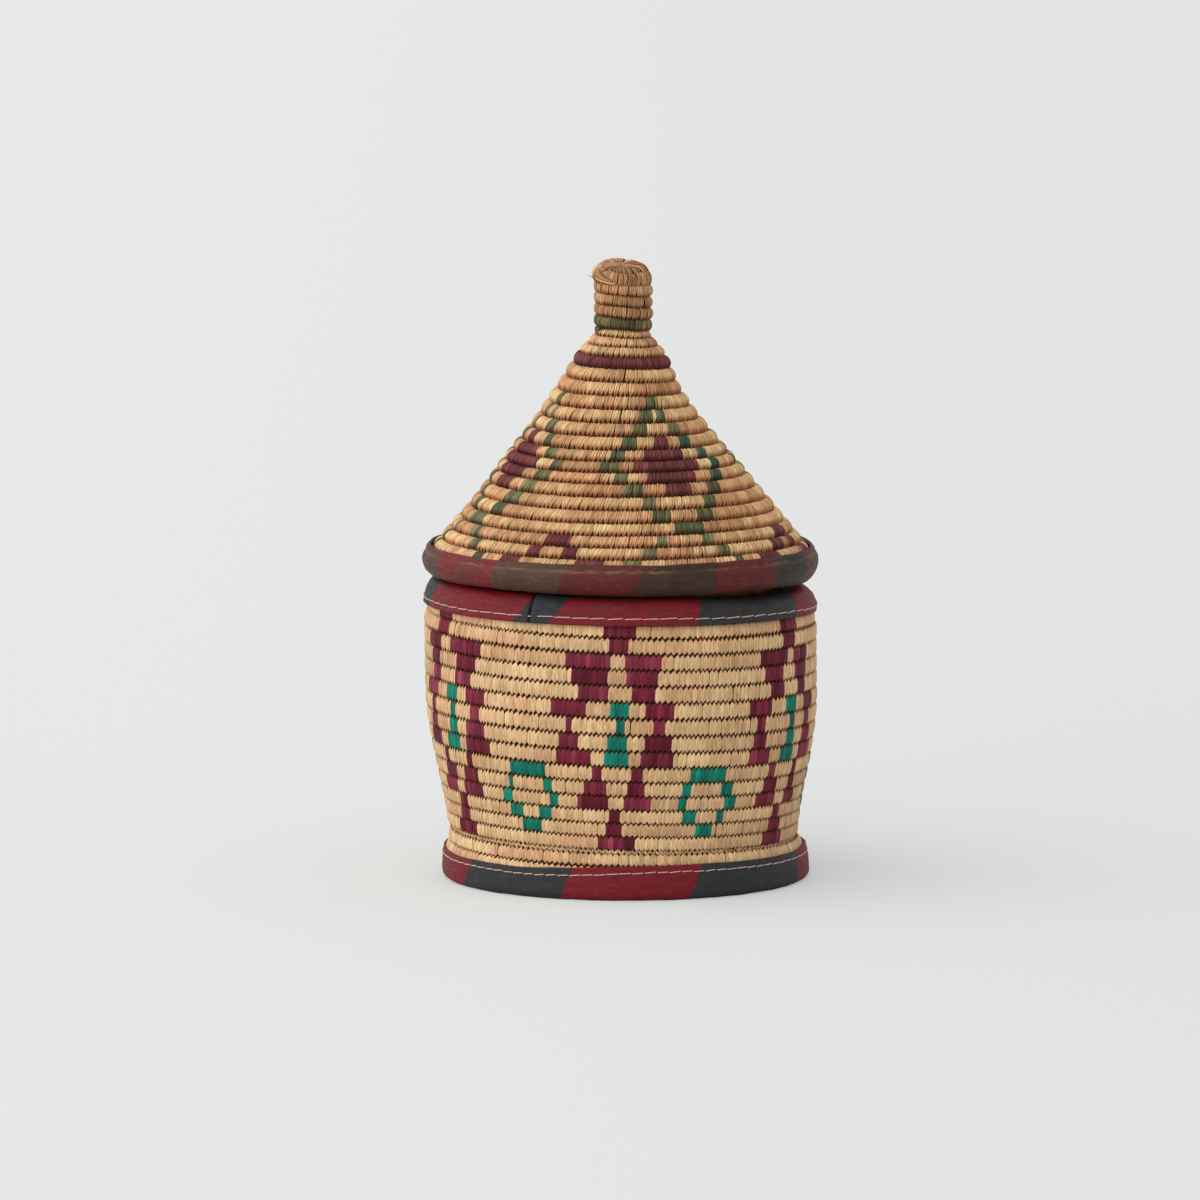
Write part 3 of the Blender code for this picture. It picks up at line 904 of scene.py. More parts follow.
# for each 1 of unevenness: how far a stitch may lean, in radians, and how far its sizes may be off
WOBBLE_SHARE = 0.45
SIZE_SHARES = {"width": 1.0, "depth": 0.35, "height": 0.4}
LUMP_SCALE = 0.9 / MM  # lumps of about a millimetre


def sewing_tree():
    tree = bpy.data.node_groups.new("sewing", "GeometryNodeTree")
    for name, kind in SEWING_INPUTS.items():
        tree.interface.new_socket(name, in_out="INPUT", socket_type="NodeSocket" + kind)
    tree.interface.new_socket("Stitches", in_out="OUTPUT", socket_type="NodeSocketGeometry")

    def join(source, socket):
        if isinstance(source, bpy.types.NodeSocket):
            tree.links.new(source, socket)
        else:
            socket.default_value = source

    def add(kind, sources=None, **settings):
        """A new node with some of its sockets, by name or number, joined to the sources."""
        node = tree.nodes.new(kind)
        for key, value in settings.items():
            setattr(node, key, value)
        for key, source in (sources or {}).items():
            join(source, node.inputs[key])
        return node

    def maths(kind, a, b):
        return add("ShaderNodeMath", {0: a, 1: b}, operation=kind).outputs[0]

    def named(name, kind):
        return add("GeometryNodeInputNamedAttribute", {"Name": name}, data_type=kind).outputs["Attribute"]

    given = add("NodeGroupInput").outputs

    def uneven(share, extra_seed):
        """A random number up to a share of the unevenness, either way."""
        most = maths("MULTIPLY", given["Unevenness"], share)
        seed = add("FunctionNodeIntegerMath", {0: given["Seed"], 1: extra_seed}, operation="ADD")
        sources = {2: maths("MULTIPLY", most, -1.0), 3: most, "Seed": seed.outputs[0]}
        return add("FunctionNodeRandomValue", sources, data_type="FLOAT").outputs[1]

    ahead, run = (named(name, "FLOAT_VECTOR") for name in ("ahead", "run"))
    directions = {"Primary Axis": ahead, "Secondary Axis": run}
    axes = add("FunctionNodeAxesToRotation", directions, primary_axis="Z", secondary_axis="X")
    slant = maths("ADD", given["Slant"], uneven(WOBBLE_SHARE, 1))
    lean = add("FunctionNodeAxisAngleToRotation", {"Axis": (0, 1, 0), "Angle": slant})
    both = {"Rotation": axes.outputs[0], "Rotate By": lean.outputs[0]}
    turned = add("FunctionNodeRotateRotation", both, rotation_space="LOCAL")
    sizes = add("ShaderNodeCombineXYZ")
    for axis, (name, share) in enumerate(SIZE_SHARES.items()):
        size = maths("ADD", 1.0, uneven(share, axis + 2))
        join(maths("MULTIPLY", named(name, "FLOAT"), size), sizes.inputs[axis])
    stitch = add("GeometryNodeObjectInfo", {"Object": given["Stitch"]}).outputs["Geometry"]
    on_points = {"Points": given["Places"], "Instance": stitch}
    as_turned = {"Rotation": turned.outputs[0], "Scale": sizes.outputs[0]}
    placed = add("GeometryNodeInstanceOnPoints", {**on_points, **as_turned})
    whole = add("GeometryNodeRealizeInstances", {0: placed.outputs[0]})
    position = add("GeometryNodeInputPosition").outputs[0]
    lumps = add("ShaderNodeTexNoise", {"Vector": position, "Scale": LUMP_SCALE, "Detail": 1.0})
    centred = add("ShaderNodeVectorMath", {0: lumps.outputs["Color"], 1: (0.5,) * 3}, operation="SUBTRACT")
    rough_inputs = {0: centred.outputs[0], "Scale": given["Roughness"]}
    rough = add("ShaderNodeVectorMath", rough_inputs, operation="SCALE")
    moved = add("GeometryNodeSetPosition", {"Geometry": whole.outputs[0], "Offset": rough.outputs[0]})
    finished = add("GeometryNodeSetMaterial", {"Geometry": moved.outputs[0], "Material": given["Material"]})
    add("NodeGroupOutput", {0: finished.outputs[0]})
    return tree


SEWING = sewing_tree()

# %% Meshes from points
# the kind of an attribute, by how many numbers a point has in it
ATTRIBUTE_KINDS = {1: ("FLOAT", "value"), 3: ("FLOAT_VECTOR", "vector"), 4: ("FLOAT_COLOR", "color")}


def turn_faces_out(mesh):
    work = bmesh.new()
    work.from_mesh(mesh)
    bmesh.ops.recalc_face_normals(work, faces=work.faces)
    work.to_mesh(mesh)
    work.free()


def to_mesh_object(name, points, faces=(), material=None):
    """A plain piece from points in mm."""
    piece = put_in_scene(name, bpy.data.meshes.new(name))
    piece.data.from_pydata((np.asarray(points) * MM).tolist(), [], faces)
    piece.data.shade_smooth()
    if faces:
        turn_faces_out(piece.data)
        print(name, len(faces), "faces")
    if material:
        piece.data.materials.append(material)
    return piece


def tube_faces(rings, sides, first=0):
    """Faces of a closed tube whose points come ring after ring, and its two ends."""
    faces = []
    for ring in range(rings - 1):
        a, b = first + ring * sides, first + (ring + 1) * sides
        faces += [(a + k, b + k, b + (k + 1) % sides, a + (k + 1) % sides) for k in range(sides)]
    end = first + (rings - 1) * sides
    return [*faces, tuple(range(first, first + sides)), tuple(range(end, end + sides))]


def put_attributes(mesh, **values):
    """Gives every point its number, direction or colour under each name."""
    for name, rows in values.items():
        kind, key = ATTRIBUTE_KINDS[np.size(rows) // len(mesh.vertices)]
        layer = mesh.attributes.new(name, kind, "POINT")
        layer.data.foreach_set(key, np.asarray(rows, np.float32).ravel())


# %% Sewing
STRAW_ROUGHNESS = 0.12 * MM


def run_sewing(name, places, material, **settings):
    """Sews on the places and returns the result as a plain mesh object."""
    modifier = places.modifiers.new("nodes", "NODES")
    modifier.node_group = SEWING
    sockets = {s.name: s.identifier for s in SEWING.interface.items_tree if s.in_out == "INPUT"}
    for key, value in (*settings.items(), ("Material", material)):
        modifier[sockets[key]] = value
    evaluated = places.evaluated_get(bpy.context.evaluated_depsgraph_get())
    mesh = bpy.data.meshes.new_from_object(evaluated)
    mesh.name = name
    bpy.data.objects.remove(places)
    print(name, len(mesh.polygons), "faces")
    return put_in_scene(name, mesh)


def sew(
    name, coil, leaves, stitch, material, pick=None, depth=1.0, tall=1.0, uneven=0.06, slant=0.0, seed=1
):
    """Sews the stitches of a coil, or of the places that pick selects, as one piece."""
    pick = np.ones(len(coil.turns), bool) if pick is None else pick
    points, run, _, ahead = coil.place()
    spacing = np.abs(np.gradient(coil.turns)) * 2 * math.pi * np.hypot(points[:, 0], points[:, 1])
    stitches = {
        "run": run,
        "ahead": ahead,
        "width": spacing / STITCH,
        "height": coil.heights() * tall / STITCH_ROW,
        "depth": np.broadcast_to(depth, len(pick)),
        "fibre": leaves.fibre,
        "leaf": leaves.colour,
    }
    places = to_mesh_object(name + "_places", points[pick])
    put_attributes(places.data, **{key: values[pick] for key, values in stitches.items()})
    settings = {"Stitch": stitch, "Unevenness": uneven, "Slant": slant, "Roughness": STRAW_ROUGHNESS}
    return run_sewing(name, places, material, **settings, Seed=seed)


# %% [markdown]
# Straw
#
# A split palm leaf is smooth and a little shiny, with fine fibres along it. Each stitch brings its
# leaf's colour with it. The finish adds the fibres, a tone that drifts over the basket, the dark
# split between two strips, painted shade along the edges where stitches meet, and painted shade
# with brown dirt where the strip dives into the coil. The bundle inside is plain dark grass.

# %% Straw finishes
FIBRES = (3.6, 1.3, 60.0)  # how fast the streaks change across and along a stitch, and between stitches
# the tint of the dark split down a stitch's middle, also used for the painted shade along its edges
SPLIT_AND_SHADE_TINT = (0.56, 0.45, 0.37)
DULL, BRIGHT = (0.74, 0.68, 0.6), (1.16, 1.17, 1.17)  # tints of the dull and the bright fibres
AGED, FRESH = (0.93, 0.88, 0.84), (1.03, 1.03, 1.03)  # tints of the older and the fresher stretches


def straw_finish(name, darkened_ends, shade_and_dirt_tint, edge_shade, crack_width, cracks, contrast):
    """The second argument says whether painted shade and dirt darken both ends of a stitch, or only the one
    ahead.
    """
    nodes = Nodes(name)
    fibre = nodes.attribute("fibre")
    across, ahead, _ = nodes.split(nodes.attribute("strip", "Vector"))
    stretched = (nodes.times(value, rate) for value, rate in zip((across, ahead, fibre), FIBRES))
    streak = nodes.noise(nodes.combine(*stretched), 1.0, 4.0, 0.62)
    patch = nodes.noise(nodes.place(), 0.09)
    fine = nodes.noise(nodes.place(), 1.6, 2.0)
    dull, bright = (tuple(np.array(tint) ** contrast) for tint in (DULL, BRIGHT))
    tone = nodes.mix(nodes.span(streak, 0.3, 0.7), dull, bright)
    colour = nodes.tint(nodes.attribute("leaf", "Color"), tone)
    colour = nodes.tint(colour, nodes.mix(nodes.span(patch, 0.35, 0.7), AGED, FRESH))
    middle = nodes.away(across, 0.5)
    crack = nodes.times(nodes.span(middle, crack_width, 0.0), nodes.span(fibre, 0.0, 1.0, *cracks))
    # painted shade along each stitch's edges, where it meets its neighbours, joined with the dark split
    # down its middle
    between = nodes.larger(crack, nodes.span(middle, 0.38, 0.5, 0.0, edge_shade))
    colour = nodes.mix(between, colour, nodes.tint(colour, SPLIT_AND_SHADE_TINT))
    # painted shade mixed with dirt at the ends of a stitch, where it curves under and dives into the coil
    from_end = nodes.away(ahead, 0.5) if darkened_ends else ahead
    low, high = (0.47, 0.6) if darkened_ends else (0.62, 1.0)
    shade_and_dirt = nodes.span(nodes.plus(from_end, nodes.times(fine, 0.08)), low, high)
    colour = nodes.mix(shade_and_dirt, colour, nodes.tint(colour, shade_and_dirt_tint))
    nodes.paint(colour, nodes.span(streak, 0.2, 0.8, 0.7, 0.55), 0.2)
    nodes.bump(nodes.plus(streak, nodes.times(fine, 0.5)), 0.12, 0.7)
    return nodes.material


def bundle_finish(name, dark, light):
    nodes = Nodes(name)
    grain = nodes.noise(nodes.place((1.0, 1.0, 2.5)), 0.9)
    nodes.paint(nodes.mix(grain, dark, light), 0.9)
    nodes.bump(grain, 0.4)
    return nodes.material


# each straw finish gets a tint for the painted shade and dirt at a stitch's ends, and how strong the
# painted shade along its edges is
body_straw = straw_finish("body_straw", True, (0.6, 0.44, 0.3), 0.3, 0.12, (0.1, 0.6), 1.0)
lid_straw = straw_finish("lid_straw", False, (0.62, 0.44, 0.36), 0.85, 0.22, (0.7, 1.0), 1.3)
body_grass = bundle_finish("body_grass", linear(96, 52, 22), linear(144, 88, 46))
lid_grass = bundle_finish("lid_grass", linear(52, 25, 12), linear(92, 52, 30))
print("finishes:", *(finish.name for finish in (body_straw, lid_straw, body_grass, lid_grass)))

# %% [markdown]
# The bundle
#
# Between the stitches one looks at the grass inside. It is a tube that follows the coil, thick enough
# for neighbouring rows to touch, so that no light comes through the wall.

# %% Bundle along a coil
BUNDLE_STEPS = 96  # a turn
BUNDLE_SIDES = 8
BUNDLE_HALF = 2.35
BUNDLE_SHARE = 0.53  # half its height, as a share of the row's: a little more than half


def bundle(name, coil, grass, depth=1.0):
    """The grass inside a coil. depth is a share of its thickness, or gives it for each turn."""
    first, last = coil.turns[0], coil.turns[-1]
    guide = copy.copy(coil).with_turns(np.linspace(first, last, round((last - first) * BUNDLE_STEPS)))
    points, _, out, ahead = guide.place()
    thickness = depth(guide.turns) if callable(depth) else np.full(len(points), depth)
    outward = out * (BUNDLE_HALF * thickness)[:, None]
    upward = ahead * (BUNDLE_SHARE * guide.heights())[:, None]
    turns = 2 * math.pi * np.arange(BUNDLE_SIDES) / BUNDLE_SIDES
    rings = np.stack([points + outward * math.cos(t) + upward * math.sin(t) for t in turns], 1)
    return to_mesh_object(name, rings.reshape(-1, 3), tube_faces(len(points), BUNDLE_SIDES), grass)


# %% Sew the basket
WALL_PIECES = 3
FLAT_WIDE, JOINING_WIDE = 1.12, 0.85  # as a share of a stitch's room
WALL_LEAN = -0.05
FOOT_TALL = 0.94  # the foot's stitches are a little shorter than its rows
JOINING_LEAN = 0.5

flat_stitch = stitch_mesh("flat_stitch", FLAT_STITCH, STITCH * FLAT_WIDE, 0.15, 0.05, 0.12)
joining_stitch = stitch_mesh("joining_stitch", JOINING_STITCH, STITCH * JOINING_WIDE, 0.25, 0.0)


def plain(coil, colours, seed):
    """Leaves for a coil without a figure."""
    return Leaves(np.zeros(len(coil.turns), int), colours, seed)


wall_leaves = Leaves(body_dyes(wall_coil), BODY_DYES, 21, 0.08)
wall_way = (wall_coil.turns - wall_coil.turns[0]) / (wall_coil.turns[-1] - wall_coil.turns[0] + 0.001)
basket_pieces = []
for part in range(WALL_PIECES):
    pick = np.floor(wall_way * WALL_PIECES) == part
    name = f"wall_stitches_{part + 1}"
    piece = sew(name, wall_coil, wall_leaves, flat_stitch, body_straw, pick, slant=WALL_LEAN, seed=part)
    basket_pieces.append((piece, "body_straw", ("wall_coil",)))
basket_pieces.append((bundle("wall_bundle", wall_coil, body_grass), "body_straw", ("wall_coil",)))

floor_leaves, foot_leaves = plain(floor_coil, BODY_DYES, 25), plain(foot_coil, BODY_DYES, 26)
floor_piece = sew("floor_stitches", floor_coil, floor_leaves, flat_stitch, body_straw, seed=5)
foot_piece = sew("foot_stitches", foot_coil, foot_leaves, flat_stitch, body_straw, tall=FOOT_TALL, seed=6)

# the joining stitches lean to the left and to the right by turns, as a zigzag of thin straws
joining_leaves = plain(joining_coil, BODY_DYES, 27)
leans_left = np.arange(len(joining_coil.turns)) % 2 == 0
for part, (pick, lean) in enumerate(((leans_left, -JOINING_LEAN), (~leans_left, JOINING_LEAN))):
    piece = sew(
        f"joining_stitches_{part + 1}", joining_coil, joining_leaves, joining_stitch, body_straw, pick,
        depth=0.92, tall=0.6, uneven=0.2, slant=lean, seed=7 + part,
    )
    basket_pieces.append((piece, "body_straw", ("foot_coil",)))
basket_pieces += [
    (bundle("joining_bundle", joining_coil, body_grass, 0.45), "body_straw", ("foot_coil",)),
    (floor_piece, "body_straw", ("floor_coil",)),
    (bundle("floor_bundle", floor_coil, body_grass), "body_straw", ("floor_coil",)),
    (foot_piece, "body_straw", ("foot_coil",)),
    (bundle("foot_bundle", foot_coil, body_grass), "body_straw", ("foot_coil",)),
]

# %% Sew the lid
LID_SPLIT_TURN = 15.2  # the stitches up to this turn are one piece and the rest another
LID_LEAN = -0.22
ROUND_WIDE = 1.06
COLLAR_DEPTH = 0.83

round_stitch = stitch_mesh("round_stitch", ROUND_STITCH, STITCH * ROUND_WIDE, 0.45, 0.4)


def lid_depth(turns):
    """The rows round the neck are thinner."""
    return np.interp(turns, (0.5, 1.5, 2.5, 3.5), (0.5, 0.6, 0.85, 1.0))


lid_leaves = Leaves(lid_dyes(lid_coil), LID_DYES, 31, 0.15)
lid_pieces = []
for part in range(2):
    piece = sew(
        f"lid_stitches_{part + 1}", lid_coil, lid_leaves, round_stitch, lid_straw,
        (lid_coil.turns > LID_SPLIT_TURN) == part,
        depth=lid_depth(lid_coil.turns), uneven=0.1, slant=LID_LEAN, seed=part + 10,
    )
    lid_pieces.append((piece, "lid_straw", ("lid_coil",)))
collar_leaves = plain(collar_coil, COLLAR_DYES, 32)
collar_piece = sew(
    "collar_stitches", collar_coil, collar_leaves, round_stitch, lid_straw, depth=COLLAR_DEPTH, seed=12
)
lid_pieces += [
    (bundle("lid_bundle", lid_coil, lid_grass, lid_depth), "lid_straw", ("lid_coil",)),
    (collar_piece, "lid_straw", ("lid_collar",)),
    (bundle("collar_bundle", collar_coil, lid_grass, COLLAR_DEPTH), "lid_straw", ("lid_collar",)),
]

# %% Sew the knob
KNOB_DEPTH = 0.86
KNOB_LEAN = -0.14
KNOB_WIDE = 1.12
KNOB_GREEN_TURN = 5.95  # the coil is green from here to its end at the knob's foot


def knob_core_depth(turns):
    """Thin near the eye, so that the end straws lie over it."""
    return np.interp(turns, (1.5, 3.0), (0.55, 0.84))


knob_stitch = stitch_mesh("knob_stitch", ROUND_STITCH, STITCH * KNOB_WIDE, 0.45, 0.2)
knob_leaves = Leaves((knob_coil.turns > KNOB_GREEN_TURN).astype(int), KNOB_DYES, 34, 0.18)
knob_piece = sew(
    "knob_stitches", knob_coil, knob_leaves, knob_stitch, lid_straw,
    depth=KNOB_DEPTH, uneven=0.2, slant=KNOB_LEAN, seed=14,
)
lid_pieces += [
    (knob_piece, "lid_straw", ("knob_coil",)),
    (bundle("knob_bundle", knob_core_coil, lid_grass, knob_core_depth), "lid_straw", ("knob_coil",)),
]

# %% [markdown]
# Straws that bend
#
# Over the knob's end the straws run from the eye down to the first row, too long and too bent for the
# straight stitch. A hank crosses them at the left, and a few worn ends stand loose. Each is a thin
# closed band along its own path.

# %% Bent straws
STRAW_STEPS = 12
# across as a share of the width, and out in mm
STRAW_SECTION = ((-0.5, -0.2), (-0.2, 0.08), (0.2, 0.08), (0.5, -0.2), (0.0, -0.6))


def straws(name, paths, outs, widths, seed):
    """Closed bands along paths, given as arrays of (straw, step, 3) in mm."""
    count, steps = paths.shape[:2]
    sides = len(STRAW_SECTION)
    aside = unit(np.cross(unit(np.gradient(paths, axis=1)), outs))
    rings = [paths + aside * (across * widths)[..., None] + outs * depth for across, depth in STRAW_SECTION]
    faces = [face for straw in range(count) for face in tube_faces(steps, sides, straw * steps * sides)]
    piece = to_mesh_object(name, np.stack(rings, 2).reshape(-1, 3), faces, lid_straw)
    leaves = Leaves(np.zeros(count, int), KNOB_DYES, seed, 0.3)
    strip = np.zeros((count, steps, sides, 3))
    strip[..., 0] = [across + 0.5 for across, _ in STRAW_SECTION]
    strip[..., 1] = (np.linspace(0, 1, steps) ** 3)[:, None]
    fibre, leaf = (np.repeat(values, steps * sides, 0) for values in (leaves.fibre, leaves.colour))
    put_attributes(piece.data, strip=strip, fibre=fibre, leaf=leaf)
    lid_pieces.append((piece, "lid_straw", ("knob_coil",)))


# %% Knob's end
END_STRAWS = 54
END_SWIRL = 25  # how many degrees they turn on their way, give or take 22
END_OVERLAP = 1.3  # how much wider than their share of the way round, up to 1.3 mm


def end_straws():
    """From the eye over the end to the first row of the coil, which is lower at the back."""
    rng = np.random.default_rng(34)
    angles = (np.arange(END_STRAWS) + rng.uniform(-0.3, 0.3, END_STRAWS)) * TURN / END_STRAWS
    first_turn = knob_coil.turns[0] + (angles - 180) % TURN / TURN
    reach = knob_length(first_turn - 0.5) + 0.5
    t = np.linspace(0, 1, STRAW_STEPS)
    swirl = (END_SWIRL + rng.uniform(-22, 22, END_STRAWS))[:, None] * (1 - t) ** 2
    turned = angles[:, None] + swirl
    flat, _, out = knob_line.at(reach[:, None] * t)
    flat[..., 0] -= 1.2 * (1 - t) ** 2
    dome = 0.2 * (1 - smooth_step(flat[..., 0] / 8)) - 0.9 * smooth_step((t - 0.8) / 0.25)
    lifted = flat + out * (2.3 + dome + rng.uniform(-0.3, 0.3, END_STRAWS)[:, None])[..., None]
    widths = np.clip(2 * math.pi * flat[..., 0] / END_STRAWS * END_OVERLAP, 0.4, 1.3)
    widths = widths * rng.uniform(0.7, 1.1, END_STRAWS)[:, None]
    straws("knob_end_straws", knob_settle(around(lifted, turned)), around(out, turned), widths, 35)


end_straws()

# %% Hank across the knob's end
CROSSING_STRAWS = 7
CROSSING_START, CROSSING_SWEEP = -66, 46  # in degrees
CROSSING_LENGTH = 6.9  # from the knob's eye, at the start of the first straw


def crossing_straws():
    """A hank laid slanting over the end's left side."""
    t = np.linspace(0, 1, STRAW_STEPS)
    rank = np.arange(CROSSING_STRAWS)[:, None]
    angles = CROSSING_START + 1.5 * rank + CROSSING_SWEEP * t
    flat, _, out = knob_line.at(CROSSING_LENGTH + 0.5 * rank + 1.9 * t**1.3)
    height = 3.1 + 0.2 * np.sin(3 * rank) - 1.1 * t**6 - 0.7 * (1 - t) ** 6
    paths = around(flat + out * height[..., None], angles)
    widths = np.broadcast_to(0.75 * (1 - 0.4 * t**4), angles.shape)
    straws("knob_crossing_straws", knob_settle(paths), around(out, angles), widths, 37)


crossing_straws()

# %% Loose ends
# where each starts, as angle and height, and how far it goes out, aside and up
LOOSE_STRAWS = (
    (-72, 241.5, 2.6, -1.5, 1.8),
    (-48, 244.6, 1.0, -1.2, 1.5),
    (58, 240.5, 1.2, 1.6, 0.8),
    (-25, 242.0, 0.9, -2.2, 2.4),
)


def loose_straws():
    t = np.linspace(0, 1, STRAW_STEPS)[:, None]
    paths, outs = [], []
    for angle, height, outward, aside, rise in LOOSE_STRAWS:
        turn = math.radians(angle)
        out = np.array([math.sin(turn), -math.cos(turn), 0.0])
        side = np.array([math.cos(turn), math.sin(turn), 0.0])
        start = out * (KNOB_RADIUS - 0.6) + (0, 0, height)
        path = start + out * outward * t + side * aside * t**2 + np.array([0, 0, rise]) * t**1.5
        paths.append(knob_settle(path))
        outs.append(np.repeat(side[None], STRAW_STEPS, 0))
    widths = np.broadcast_to(0.7 * (1.15 - t[:, 0]), (len(paths), STRAW_STEPS))
    straws("knob_loose_straws", np.array(paths), np.array(outs), widths, 36)


loose_straws()


# %% [markdown]
# Leather bindings
#
# A strip of red and dark goatskin is rolled round each edge and its two ends lap. The lid's strip has
# a hem turned over at the top and is worn brown. Each strip is a closed section swept round the axis,
# a little past the full turn, and its first stretch is raised to lie on the last one.

# %% Leather dyes and patches
RED = linear(122, 22, 34)
CHARCOAL = linear(48, 50, 53)
FADED_RED = linear(96, 32, 34)
# the lid's patches at the left take lighter copies of the faded red and the brown-grey, as painted light
# from the sun at the left
LIT_RED = linear(120, 38, 40)
BROWN_GREY = linear(58, 42, 32)
LIT_BROWN = linear(84, 62, 50)
DARK_GREY = linear(50, 46, 40)
# where each patch ends at its shown edge, in degrees from the front, its dye, and how many degrees
# that end leans to the right for each mm across the strip
MOUTH_PATCHES = [
    (-140, RED, 0.1), (-103, CHARCOAL, 0.3), (-75, CHARCOAL, 0.2), (-33, RED, 0.6),
    (-21.5, CHARCOAL, 0.55), (21.8, RED, 0.3), (62, CHARCOAL, 0.5), (98, RED, 0.3),
    (131, CHARCOAL, 0.2), (180, RED, 0.0),
]
FOOT_PATCHES = [
    (-139, CHARCOAL, -0.4), (-100, RED, -0.3), (-56.5, RED, -0.45), (-16.5, CHARCOAL, -0.4),
    (24.5, RED, -0.4), (71, CHARCOAL, -0.2), (112, RED, -0.3), (150, CHARCOAL, -0.3), (180, RED, 0.0),
]
# the lighter red and brown at the left of the lid are painted light
LID_PATCHES = [
    (-151, BROWN_GREY, 0.0), (-118, FADED_RED, 0.1), (-67, LIT_BROWN, 0.1), (-38.5, LIT_RED, -0.2),
    (-15, LIT_BROWN, -0.35), (7.0, FADED_RED, -0.25), (30, BROWN_GREY, -0.2), (51.5, FADED_RED, 0.0),
    (69.5, DARK_GREY, 0.0), (101, FADED_RED, 0.1), (128, DARK_GREY, 0.0), (180, FADED_RED, 0.0),
]

# %% Binding
BINDING_ANGLES = 600
LEATHER = 1.2
BLEED = 0.2  # half the degrees over which one dye runs into the next
STRIP_STEP = 0.9
# the first end lies raised on the last one, and slopes down over so many degrees
LAP = 9
LAP_HIGH = 0.8 * LEATHER
# the groove at the seam, whose width is in degrees
GROOVE_DEEP, GROOVE_WIDE = 1.6, 0.55
EDGE_REACH = 7.0  # how far from the shown edge the strip is still drawn with it
RAGGED = 0.22  # how far a patch's end strays, in degrees


def ripple(angles, seed, waves=(3, 5, 8, 13, 21, 34)):
    """A smooth, uneven line round the axis, about 1 high."""
    rng = np.random.default_rng(seed)
    sines = [np.sin(np.radians(angles) * wave + rng.uniform(0, 6.3)) for wave in waves]
    return sum(sine / math.sqrt(i + 1) for i, sine in enumerate(sines)) / 1.6


def even(s, angles):
    return s * 0.0


class Binding:
    """A strip rolled round an edge. section lists (radius, height) of its outside, from its shown edge.

    edge moves the shown edge along the section. relief raises the surface, and rise lifts it.
    """

    def __init__(self, name, section, side, patches, seam, settle, seed, edge, relief=even, rise=even):
        self.name = name
        self.line = Profile(section, side)
        self.patches = patches
        self.seam = seam
        self.settle = settle
        self.seed = seed
        self.edge = edge
        self.relief = relief
        self.rise = rise
        self.steps = max(round(self.line.length / STRIP_STEP), 12)
        self.order = np.argsort([(end - seam) % TURN for end, _, _ in patches])

    def surface(self, s, angles, lift=0.0):
        """Points at lengths s from the strip's shown edge."""
        near = np.clip(1 - s / EDGE_REACH, 0, 1)
        flat, _, out = self.line.at(s + self.edge(angles) * near)
        past = angles - self.seam
        raised = LAP_HIGH * (1 - smooth_step(past / LAP))
        grooves = sum(np.exp(-(((past - place) / GROOVE_WIDE) ** 2)) for place in (0, TURN))
        relief = self.relief(s, angles) + 0.1 * ripple(angles + 4 * s, self.seed + 1, (17, 29, 43))
        flat = flat + out * (lift + relief + raised - GROOVE_DEEP * grooves)[..., None]
        flat[..., 1] += self.rise(s, angles)
        return self.settle(around(flat, angles))

    def borders(self, s):
        """Where the patches end at a length s from the shown edge, as rising angles past the seam."""
        places = []
        for number, (end, _, lean) in enumerate(self.patches):
            ragged = RAGGED * ripple(np.array([50 * number + 9 * s]), self.seed + 2)[0]
            places.append((end - self.seam) % TURN + lean * s + (ragged if s else 0))
        places = np.clip(places, 0.5, TURN - 0.5)
        return self.seam + np.maximum.accumulate(places[self.order])

    def columns(self):
        """Angles round the strip, closer beside its seam and doubled where a patch ends."""
        fine = np.arange(0, 3, 0.12)
        main = np.linspace(3, TURN - 3, BINDING_ANGLES)
        seam = self.seam + np.concatenate([fine, main, TURN - fine[::-1], TURN + fine[1:8]])
        ends = self.borders(0.0)
        return np.sort(np.concatenate([seam, ends - BLEED, ends + BLEED]))

    def shifted(self, columns, s):
        """The columns at a length s, moved so that they follow the slanting ends of the patches."""
        far = self.seam + TURN
        known = [self.seam, *self.borders(0.0), far, far + 10]
        return np.interp(columns, known, [self.seam, *self.borders(s), far, far + 10])

    def build(self, material):
        columns = self.columns()
        s = np.linspace(0, self.line.length, self.steps)
        angles = np.stack([self.shifted(columns, length) for length in s], 1)
        # out along the outside, round the far lip, back along the inside and round the shown lip
        there = np.r_[0 : len(s), len(s) - 1, len(s) - 1 : -1 : -1, 0]
        inward = np.repeat((0, LEATHER / 2, LEATHER, LEATHER / 2), (len(s), 1, len(s), 1))
        turns = angles[:, there]
        reach = np.broadcast_to(s[there], turns.shape)
        ring = self.surface(reach, turns, -inward)
        rows, count = turns.shape
        piece = to_mesh_object(self.name, ring.reshape(-1, 3), tube_faces(rows, count), material)
        dyes = np.array([(*self.patches[k][1], 1.0) for k in self.order])
        patch = np.searchsorted(self.borders(0.0), columns) % len(dyes)
        put_attributes(piece.data, dye=np.repeat(dyes[patch], count, 0), reach=reach, turn=turns)
        return piece


# %% Sections of the strips
MOUTH_ROLL_OUT = 8.2
FOOT_OUTER, FOOT_INNER = (70.6, 3.0), (66.6, 2.2)  # the middles of its two lower bends
LID_ROLL_OUT = 5.8
LID_ROLL_RADIUS, LID_ROLL_HIGH = 78.4 - LID_ROLL_OUT, 127.0


def mouth_section():
    centre = (BELLY_RADIUS - MOUTH_ROLL_OUT, MOUTH_HIGH - MOUTH_ROLL_OUT)
    inner = (centre[0] - MOUTH_ROLL_OUT, centre[1] - 1.7)
    return [(BELLY_RADIUS, MOUTH_LOW), *arc(centre, MOUTH_ROLL_OUT, 0, 180), inner]


def foot_section():
    bends = [*arc(FOOT_OUTER, FOOT_OUTER[1], 0, -90), *arc(FOOT_INNER, FOOT_INNER[1], -90, -180)]
    return [(72.6, 12.3), (73.3, 8.0), *bends, (64.4, 9.0)]


